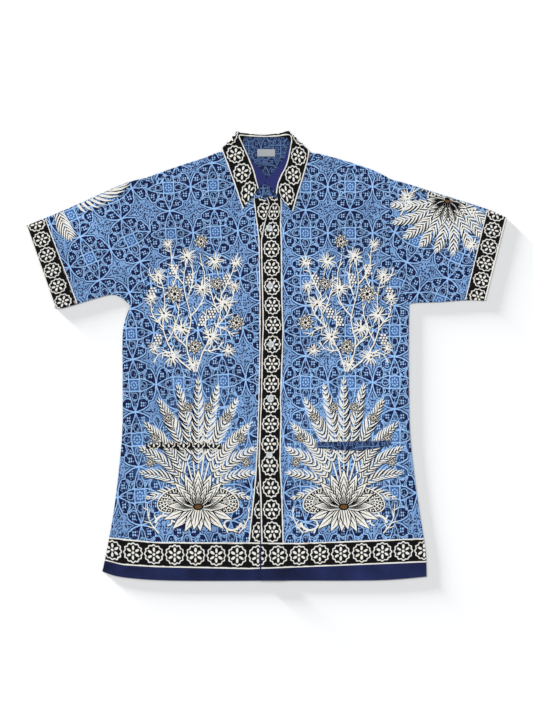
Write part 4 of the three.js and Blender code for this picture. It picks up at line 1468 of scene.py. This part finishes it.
collar = {  # cross-sections from the right point round the neck to the left one
    "sections": [  # roll, edge, end of the underside, and the layers under roll and edge
        ((-12.1, 687.6), (-39.4, 650.5), None, 3, 2),
        ((-15.5, 700.0), (-47.0, 672.0), None, 3, 2),
        ((-20.0, 717.0), (-55.5, 697.0), None, 3, 2),
        ((-27.0, 735.5), (-64.2, 721.0), None, 3, 2),
        ((-35.5, 755.0), (-71.5, 741.5), None, 3, 2.2),
        ((-41.5, 768.0), (-76.8, 757.0), None, 3, 2.4),
        ((-44.8, 775.5), (-67.5, 767.5), (-70.5, 759.5), 2.6, 2.6),
        ((-45.0, 778.5), (-58.5, 777.3), (-58.0, 757.0), 2.2, 2.2),
        ((-42.5, 779.3), (-49.9, 786.6), (-46.0, 753.0), 1.6, 1.6),
        ((-33.0, 778.3), (-33.0, 783.4), (-33.0, 750.0), 1, 1),
        ((-8.0, 777.0), (-8.0, 781.6), (-8.0, 747.0), 1, 1),
        ((18.0, 777.4), (18.0, 782.8), (18.0, 747.0), 1, 1),
        ((36.0, 779.8), (39.6, 787.2), (38.0, 752.0), 1.6, 1.6),
        ((43.0, 779.0), (52.5, 777.6), (51.5, 756.0), 2.2, 2.2),
        ((44.9, 773.0), (64.5, 766.0), (65.5, 758.5), 2.6, 2.6),
        ((44.2, 765.5), (75.6, 753.5), None, 3, 2.4),
        ((41.8, 752.0), (74.8, 740.0), None, 3, 2.2),
        ((38.5, 736.0), (70.3, 722.0), None, 3, 2),
        ((33.5, 722.0), (65.3, 704.0), None, 3.8, 2),
        ((26.5, 709.0), (60.0, 687.0), None, 4.4, 2),
        ((21.0, 695.0), (54.3, 668.5), None, 4.4, 2.4),
        ((18.0, 678.3), (48.1, 646.1), None, 4.2, 2.5),
    ],
    "across": 22,
    "substeps": 5,
    "pitch": 33.5,
    "offset": -2.3,  # the rosettes' shift to the wearer's left
    "gather": -10.7,  # and towards the back of the neck
}


def collarSection(roll, edge, under, rollLevel, edgeLevel):
    count = collar["across"]
    start, turn = np.array(roll, float), np.array(edge, float)
    if under is None:
        share = np.linspace(0, 1, count + 1)[:, None]
        plan = mix(start, turn, share)
        z = mix(rollLevel, edgeLevel, share[:, 0]) * cloth["layer"] + cloth["top"] + loftAt(plan)
        return np.column_stack([plan, z])
    end = np.array(under, float)
    out = unit(unit(turn - start) + unit(turn - end))
    height = rollLevel * cloth["layer"] + cloth["top"]
    centre = turn - out * height / 2
    upper, lower = np.linalg.norm(centre - start), np.linalg.norm(centre - end)
    bend = math.pi * (height / 2 - 0.5)
    rows = []
    for s in np.linspace(0, upper + bend + lower, count + 1):
        if s < upper:
            rows.append([*mix(start, centre, s / upper), height])
        elif s > upper + bend:
            rows.append([*mix(centre, end, (s - upper - bend) / lower), 0])
        else:
            angle = math.pi * (0.5 - (s - upper) / bend)
            rows.append([*(centre + out * height / 2 * math.cos(angle)), height / 2 * (1 + math.sin(angle))])
    return np.array(rows)


def makeCollarLeaf():
    sections = [collarSection(*row) for row in collar["sections"]]
    lines = [curvedBySpan(line, collar["substeps"]) for line in zip(*sections)]
    grid = np.stack(lines, axis=1)
    grid[..., 2] = np.maximum(grid[..., 2], 0)
    rows, columns = grid.shape[:2]
    middle = grid[:, columns // 3]
    run = np.concatenate([[0], np.cumsum(np.linalg.norm(np.diff(middle, axis=0), axis=1))])
    run = run - run[-1] / 2 - collar["offset"]
    run = (run - collar["gather"] * np.tanh(run / 20)) / collar["pitch"]
    share = np.linspace(-0.5, 0.5, columns)
    plan = np.stack(np.meshgrid(run + 0.5, share, indexing="ij"), axis=-1).reshape(-1, 2)
    faces = gridFaces(rows, columns)
    part = (grid.reshape(-1, 3), plan, faces, ["collar"] * len(faces))
    return sew(
        "collar_leaf_cloth", [part], lambda kind, places: places, ["collar_leaf"],
        liningKind="ink",
    )


# A small piece of one kind, from rows of points on the plan
def gridPiece(name, rows, heightOf, uvOf, kind):
    grid = np.array(rows)
    plan = grid.reshape(-1, 2)
    faces = gridFaces(grid.shape[0], grid.shape[1], flip=True)
    part = (np.column_stack([plan, heightOf(plan)]), plan, faces, [kind] * len(faces))
    return sew(f"{name}_cloth", [part], lambda _, places: uvOf(places), [name], liningKind=kind)


def levelOn(layers):  # the height on a number of flat layers, for each point of the plan
    return lambda plan: np.full(len(plan), layers * cloth["layer"] + cloth["top"])


def plainUv(plan):
    return plan / 78


stand = {
    "levels": [  # y, and x at the right and left end
        (729.5, -26.0, 38.0), (742.0, -32.5, 41.5), (757.0, -38.5, 44.0), (768.0, -40.0, 43.0),
        (776.0, -37.0, 36.0),
    ],
    "dip": 4,
    "up": 12,
    "across": 16,
}


def makeStand():
    up, across = stand["up"], stand["across"]
    right = curved([(x, y) for y, x, _ in stand["levels"]], up)
    left = curved([(x, y) for y, _, x in stand["levels"]], up)
    lowest = ((right[0][0] + left[0][0]) / 2, right[0][1] - stand["dip"])
    bottom = curved([right[0], lowest, left[0]], across)
    share = np.linspace(0, 1, across + 1)[:, None]
    sag = bottom - mix(right[0], left[0], share)
    rows = [mix(a, b, share) + sag * (1 - j / up) for j, (a, b) in enumerate(zip(right, left))]
    lattice = latticeUv((20.0, 755.0), 0, size=(56.0, 59.0))
    # the stand's inside gets the lattice's darker copy: painted shade
    return gridPiece("collar_stand", rows, levelOn(1), lattice, "inside")


facings = {  # inner and outer edge, and the layers below
    "right": [
        ((-37.5, 757.0), (-44.5, 765.0), 2), ((-24.0, 735.0), (-33.5, 737.0), 2),
        ((-12.5, 724.0), (-26.0, 717.0), 2), ((4.0, 702.5), (-13.0, 687.0), 2),
    ],
    "left": [
        ((41.6, 767.0), (46.4, 765.0), 2), ((40.6, 760.0), (47.0, 757.0), 2),
        ((36.0, 746.0), (42.5, 740.0), 2), ((22.0, 724.5), (36.5, 721.0), 2.4),
        ((9.0, 710.0), (28.0, 701.0), 3), ((-2.4, 698.0), (21.0, 677.5), 3),
    ],
}


def makeFacing(side):
    inner = curvedBySpan([(*a, level) for a, _, level in facings[side]], 6)
    outer = curvedBySpan([(*b, level) for _, b, level in facings[side]], 6)
    grid = np.stack([mix(inner, outer, share) for share in np.linspace(0, 1, 7)], axis=1)
    grid[..., 2] = np.maximum(grid[..., 2], 2) * cloth["layer"] + cloth["top"]
    points = grid.reshape(-1, 3)
    faces = gridFaces(grid.shape[0], grid.shape[1], flip=side == "left")
    part = (points, points[:, :2], faces, ["facing"] * len(faces))
    return sew(
        f"facing_{side}_cloth", [part], lambda kind, plan: plainUv(plan),
        [f"facing_{side}"], liningKind="facing",
    )


print("pocket welts")

welts = {  # x, and y of the lower and upper edge
    "right": [(-208.8, 231.6, 242.0), (-143.0, 231.8, 242.0), (-77.8, 231.0, 240.6)],
    "left": [
        (88.5, 233.6, 243.2), (120.0, 230.0, 243.8), (153.0, 228.7, 244.6), (190.0, 232.0, 245.6),
        (219.0, 238.6, 246.0),
    ],
}


def weltBorderUv(plan):  # the border cloth, cut across its rosettes
    return np.column_stack([plan[:, 0] / 26, (plan[:, 1] - 245) / 40])


def makeWelt(side):
    low = curved([(x, y) for x, y, _ in welts[side]], 40)
    high = curved([(x, y) for x, _, y in welts[side]], 40)
    rows = [mix(low, high, share) for share in np.linspace(0, 1, 5)]
    # the left welt gets the lattice's darker copy: painted shade
    uvOf, slot, kind = {
        "right": (weltBorderUv, "border_print", "collar"),
        "left": (latticeUv((100.0, 226.0), 0), "lattice_welt", "inside"),
    }[side]
    return gridPiece(f"pocket_welt_{side}", rows, secondHeight, uvOf, kind)


label = {"halfWidth": 15.5, "halfHeight": 6.3, "stitchedWidth": 14.3, "stitchedHeight": 5.2}


def makeLabel():
    x, y = labelMiddle
    xs = np.linspace(x - label["halfWidth"], x + label["halfWidth"], 14)
    ys = np.linspace(y - label["halfHeight"], y + label["halfHeight"], 7)
    rows = [np.column_stack([xs, np.full(len(xs), level)]) for level in ys]
    return gridPiece("neck_label", rows, levelOn(2), plainUv, "label")


print("buttons")

button = {
    "rings": [  # radius, top, underside
        (5.7, 1.6, 0.9), (5.4, 2.05, 0.3), (4.9, 2.2, 0.05), (4.2, 2.05, 0), (3.6, 1.5, 0),
        (2.6, 1.35, 0),
    ],
    "segments": 36,
    "holeFromMiddle": 1.15,
    "holeRadius": 0.58,
    "holeSegments": 10,
    "threadRadius": 0.26,
    "threadPath": [  # share of the way from the middle to a hole, and height
        (-1, 0.3), (-1, 1.2), (-0.75, 1.62), (0, 1.85), (0.75, 1.62), (1, 1.2), (1, 0.3),
    ],
}


def makePearl():
    values = {"Roughness": 0.24, "Coat Weight": 0.5, "Coat Roughness": 0.12}
    material, tree, shader, place = newMaterial("pearl", values)
    bands = noiseField(tree, place, 260.0, 3.0).compute("MULTIPLY_ADD", 3.0, -1.0, clamp=True)
    colour = mixColours(tree, bands, tone(168, 182, 192), tone(222, 222, 220))
    link(tree, colour, shader.inputs["Base Color"])
    addBump(tree, shader, 0.3, 0.0002, bands)
    return material


def makeThread(name, colour):
    material, tree, shader, place = newMaterial(name, {"Roughness": 0.7, "Sheen Weight": 0.1})
    twist = noiseField(tree, place, 900.0, 1.0)
    link(tree, shaded(tree, colour, twist, 0.75, 1.2), shader.inputs["Base Color"])
    return material


finishes = {
    "pearl": makePearl(),
    "whiteThread": makeThread("whiteThread", tone(214, 214, 210)),
    "navyThread": makeThread("navyThread", tone(38, 48, 96)),
    "blackThread": makeThread("blackThread", tone(30, 28, 34)),
}


def circle(x, y, radius, count):
    turn = np.arange(count) / count * 2 * math.pi
    return np.column_stack([x + radius * np.cos(turn), y + radius * np.sin(turn)])


def tubeAlong(path, radius, sides=6):
    path = np.array(path, float)
    run = np.gradient(path, axis=0)
    run /= np.linalg.norm(run, axis=1)[:, None]
    side = np.cross(run, (0.3, 0.9, 0.1))
    side /= np.linalg.norm(side, axis=1)[:, None]
    up = np.cross(side, run)
    turn = (np.arange(sides) / sides * 2 * math.pi)[None, :, None]
    points = path[:, None] + radius * (np.cos(turn) * side[:, None] + np.sin(turn) * up[:, None])
    faces = []
    for i in range(len(path) - 1):
        for j in range(sides):
            k = (j + 1) % sides
            faces.append((i * sides + j, (i + 1) * sides + j, (i + 1) * sides + k, i * sides + k))
    last = (len(path) - 1) * sides
    faces += [tuple(range(sides)), tuple(last + j for j in reversed(range(sides)))]
    return points.reshape(-1, 3), faces


# A dished four-hole button in two shells, top and underside, joined at the rim and in the holes
def makeButton(number):
    low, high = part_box(f"button_{number}")
    centre = np.array([(low.x + high.x) * 500, (low.y + high.y) * 500])
    outer = circle(0, 0, button["rings"][0][0], button["segments"])
    reach = button["holeFromMiddle"]
    corners = [(x, y) for x in (-reach, reach) for y in (-reach, reach)]
    holes = [circle(x, y, button["holeRadius"], button["holeSegments"]) for x, y in corners]
    inner = [circle(0, 0, radius, button["segments"]) for radius, _, _ in button["rings"][1:]]
    points = [*inner, np.array([[0.0, 0.0]]), outer, *holes]
    outlines, start = [], sum(len(p) for p in points[:len(inner) + 1])
    for ring in (outer, *holes):
        outlines.append(list(range(start, start + len(ring))))
        start += len(ring)
    made = delaunay_2d_cdt([tuple(p) for p in np.concatenate(points)], [], outlines, 0, 1e-6)
    flat = np.array([tuple(v) for v in made[0]])
    faces = [tuple(face) for face, origins in zip(made[2], made[5]) if list(origins) == [0]]
    radii, tops, bottoms = np.array(button["rings"][::-1]).T
    distance = np.linalg.norm(flat, axis=1)
    top = np.interp(distance, radii, tops)
    bottom = np.interp(distance, radii, bottoms)
    count = len(flat)
    edges = {(a, b) for face in faces for a, b in zip(face, face[1:] + face[:1])}
    walls = [(b, a, count + a, count + b) for a, b in sorted(edges) if (b, a) not in edges]
    allFaces = faces + [tuple(count + v for v in face[::-1]) for face in faces] + walls
    allPoints = np.concatenate([np.column_stack([flat, top]), np.column_stack([flat, bottom])])
    pearlFaces = len(allFaces)
    for x in (-reach, reach):
        path = [(x, reach * share, z) for share, z in button["threadPath"]]
        tubePoints, tubeFaces = tubeAlong(path, button["threadRadius"])
        allFaces += [tuple(len(allPoints) + v for v in face) for face in tubeFaces]
        allPoints = np.concatenate([allPoints, tubePoints])
    name = f"button_{number}_pearl"
    mesh = bpy.data.meshes.new(name)
    mesh.from_pydata(((allPoints + (*centre, low.z * 1000)) / 1000).tolist(), [], allFaces)
    mesh.materials.append(finishes["pearl"])
    mesh.materials.append(finishes["whiteThread"])
    kinds = np.arange(len(allFaces)) >= pearlFaces
    mesh.polygons.foreach_set("material_index", kinds.astype(np.int32))
    mesh.polygons.foreach_set("use_smooth", np.ones(len(allFaces), dtype=bool))
    mesh.set_sharp_from_angle(angle=math.radians(40))
    piece = bpy.data.objects.new(name, mesh)
    bpy.context.scene.collection.objects.link(piece)
    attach(piece, "root")
    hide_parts(f"button_{number}")


print("stitches")

stitch = {"pitch": 3.0, "length": 2.3, "thickness": 0.34, "above": 0.12}
stitchedFrom = {  # how far from each edge or border its stitches run
    "rosettes": 2.2,
    "hem": 3.0,
    "armhole": 2.2,
    "shoulder": 1.6,
    "placketLeft": 1.6,
    "placketRight": 1.8,
}


# Resamples lines at the stitches' pitch and lays one small oval stitch on each point
def makeStitchTree():
    tree = bpy.data.node_groups.new("topstitching", "GeometryNodeTree")
    tree.interface.new_socket("Geometry", in_out="INPUT", socket_type="NodeSocketGeometry")
    for measure in ("Pitch", "Length", "Thickness"):
        tree.interface.new_socket(measure, in_out="INPUT", socket_type="NodeSocketFloat")
    tree.interface.new_socket("Thread", in_out="INPUT", socket_type="NodeSocketMaterial")
    tree.interface.new_socket("Geometry", in_out="OUTPUT", socket_type="NodeSocketGeometry")
    source, result = tree.nodes.new("NodeGroupInput"), tree.nodes.new("NodeGroupOutput")
    nodes, join = tree.nodes.new, tree.links.new
    curve = nodes("GeometryNodeMeshToCurve")
    even = nodes("GeometryNodeResampleCurve")
    even.mode = "LENGTH"
    tangent = nodes("GeometryNodeInputTangent")
    turn = nodes("FunctionNodeAlignRotationToVector")
    turn.axis = "X"
    grain = nodes("GeometryNodeMeshUVSphere")
    grain.inputs["Segments"].default_value = 6
    grain.inputs["Rings"].default_value = 4
    grain.inputs["Radius"].default_value = 0.5
    size = nodes("ShaderNodeCombineXYZ")
    shape = nodes("GeometryNodeTransform")
    place = nodes("GeometryNodeInstanceOnPoints")
    realize = nodes("GeometryNodeRealizeInstances")
    paint = nodes("GeometryNodeSetMaterial")
    join(source.outputs["Geometry"], curve.inputs["Mesh"])
    join(curve.outputs["Curve"], even.inputs["Curve"])
    join(source.outputs["Pitch"], even.inputs["Length"])
    join(tangent.outputs["Tangent"], turn.inputs["Vector"])
    join(source.outputs["Length"], size.inputs["X"])
    join(source.outputs["Thickness"], size.inputs["Y"])
    join(source.outputs["Thickness"], size.inputs["Z"])
    join(grain.outputs["Mesh"], shape.inputs["Geometry"])
    join(size.outputs["Vector"], shape.inputs["Scale"])
    join(even.outputs["Curve"], place.inputs["Points"])
    join(shape.outputs["Geometry"], place.inputs["Instance"])
    join(turn.outputs["Rotation"], place.inputs["Rotation"])
    join(place.outputs["Instances"], realize.inputs["Geometry"])
    join(realize.outputs["Geometry"], paint.inputs["Geometry"])
    join(source.outputs["Thread"], paint.inputs["Material"])
    join(paint.outputs["Geometry"], result.inputs["Geometry"])
    return tree


stitchTree = makeStitchTree()


def makeStitches(name, thread, lines):
    points, edges = [], []
    for line in lines:
        start = len(points)
        points += ((np.array(line) + (shiftX, shiftY, stitch["above"])) / 1000).tolist()
        edges += [(start + k, start + k + 1) for k in range(len(line) - 1)]
    mesh = bpy.data.meshes.new(name + "Lines")
    mesh.from_pydata(points, edges, [])
    guide = bpy.data.objects.new(name + "Lines", mesh)
    bpy.context.scene.collection.objects.link(guide)
    modifier = guide.modifiers.new("topstitching", "NODES")
    modifier.node_group = stitchTree
    values = {key.capitalize(): stitch[key] / 1000 for key in ("pitch", "length", "thickness")}
    values["Thread"] = finishes[thread]
    for item in stitchTree.interface.items_tree:
        if item.in_out == "INPUT" and item.name in values:
            modifier[item.identifier] = values[item.name]
    evaluated = guide.evaluated_get(bpy.context.evaluated_depsgraph_get())
    made = bpy.data.meshes.new_from_object(evaluated)
    guide.modifiers.remove(modifier)
    bpy.data.objects.remove(guide)
    made.polygons.foreach_set("use_smooth", np.ones(len(made.polygons), dtype=bool))
    piece = bpy.data.objects.new(name, made)
    bpy.context.scene.collection.objects.link(piece)
    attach(piece, "root")


def lineOn(plan, heightOf, *side):
    plan = np.array(plan, float)
    return np.column_stack([plan, heightOf(plan, *side)])


def stitchLines():
    navy, black = [], []
    for side, lowX, highX in (("right", -278, -14), ("left", -6, 279)):
        xs = np.linspace(lowX, highX, 90)
        underRosettes = trackY(hemBand["bottom"], xs) - stitchedFrom["rosettes"]
        overHem = trackY(hemLine, xs) + stitchedFrom["hem"]
        for ys in (underRosettes, overHem):
            navy.append(lineOn(np.column_stack([xs, ys]), frontHeight, side))
        armhole = armholeCurve(side, 4)[2:]
        inward = stitchedFrom["armhole"] * (1 if side == "right" else -1)
        navy.append(lineOn(armhole + (inward, 0), frontHeight, side))
        shoulder = shoulderSeam(side, shoulderDrop - stitchedFrom["shoulder"])
        navy.append(lineOn(shoulder[3:-2], liftedHeight))
        for up in (1.4, -1.4):
            x, low, high = np.array(welts[side]).T
            y = (low + high) / 2 + up * (high - low) / 4.2
            welt = curved(np.column_stack([x, y]), 40)[1:-1]
            black.append(lineOn(welt, secondHeight))
        edge, band = np.array(cuffs[side]["edge"], float), np.array(cuffs[side]["band"], float)
        for share in (0.06, 0.9):
            line = curved(mix(band, edge, share), 36)[1:-1]
            black.append(lineOn(line, liftedHeight))
    ys = np.linspace(70, 664, 150)
    left, right = trackX(placketBand["left"], ys), trackX(placketBand["right"], ys)
    for xs in (left - stitchedFrom["placketLeft"], right + stitchedFrom["placketRight"]):
        black.append(lineOn(np.column_stack([xs, ys]), frontHeight, "left"))
    for sections in (collar["sections"][:6], collar["sections"][-7:]):
        line = curved([mix(np.array(row[0]), np.array(row[1]), 0.93) for row in sections], 40)[1:-2]
        share, places = np.linspace(0, 1, len(line)), np.linspace(0, 1, len(sections))
        levels = np.interp(share, places, [row[4] for row in sections])
        height = levels * cloth["layer"] + cloth["top"] + loftAt(line) + 0.1
        black.append(np.column_stack([line, height]))
    return navy, black


def labelLine():
    x, y = labelMiddle
    across, up = label["stitchedWidth"], label["stitchedHeight"]
    turns = ((-1, -1), (1, -1), (1, 1), (-1, 1), (-1, -1))
    level = 2 * cloth["layer"] + cloth["top"]
    return [(x + across * right, y + up * back, level) for right, back in turns]


print("pieces")

frontDrawing = drawFront()
for side, mirror in (("right", placketMiddle), ("left", None)):
    makeFront(side, frontDrawing.regions(mirror))
    makeSleeve(side, drawSleeve(side).regions())
    makeFacing(side)
    makeWelt(side)
makeBack()
makeCollarLeaf()
makeStand()
makeLabel()
for number in range(1, 6):
    makeButton(number)
navyLines, blackLines = stitchLines()
makeStitches("seam_stitches", "navyThread", navyLines)
makeStitches("border_stitches", "blackThread", blackLines)
makeStitches("label_stitches", "whiteThread", [labelLine()])
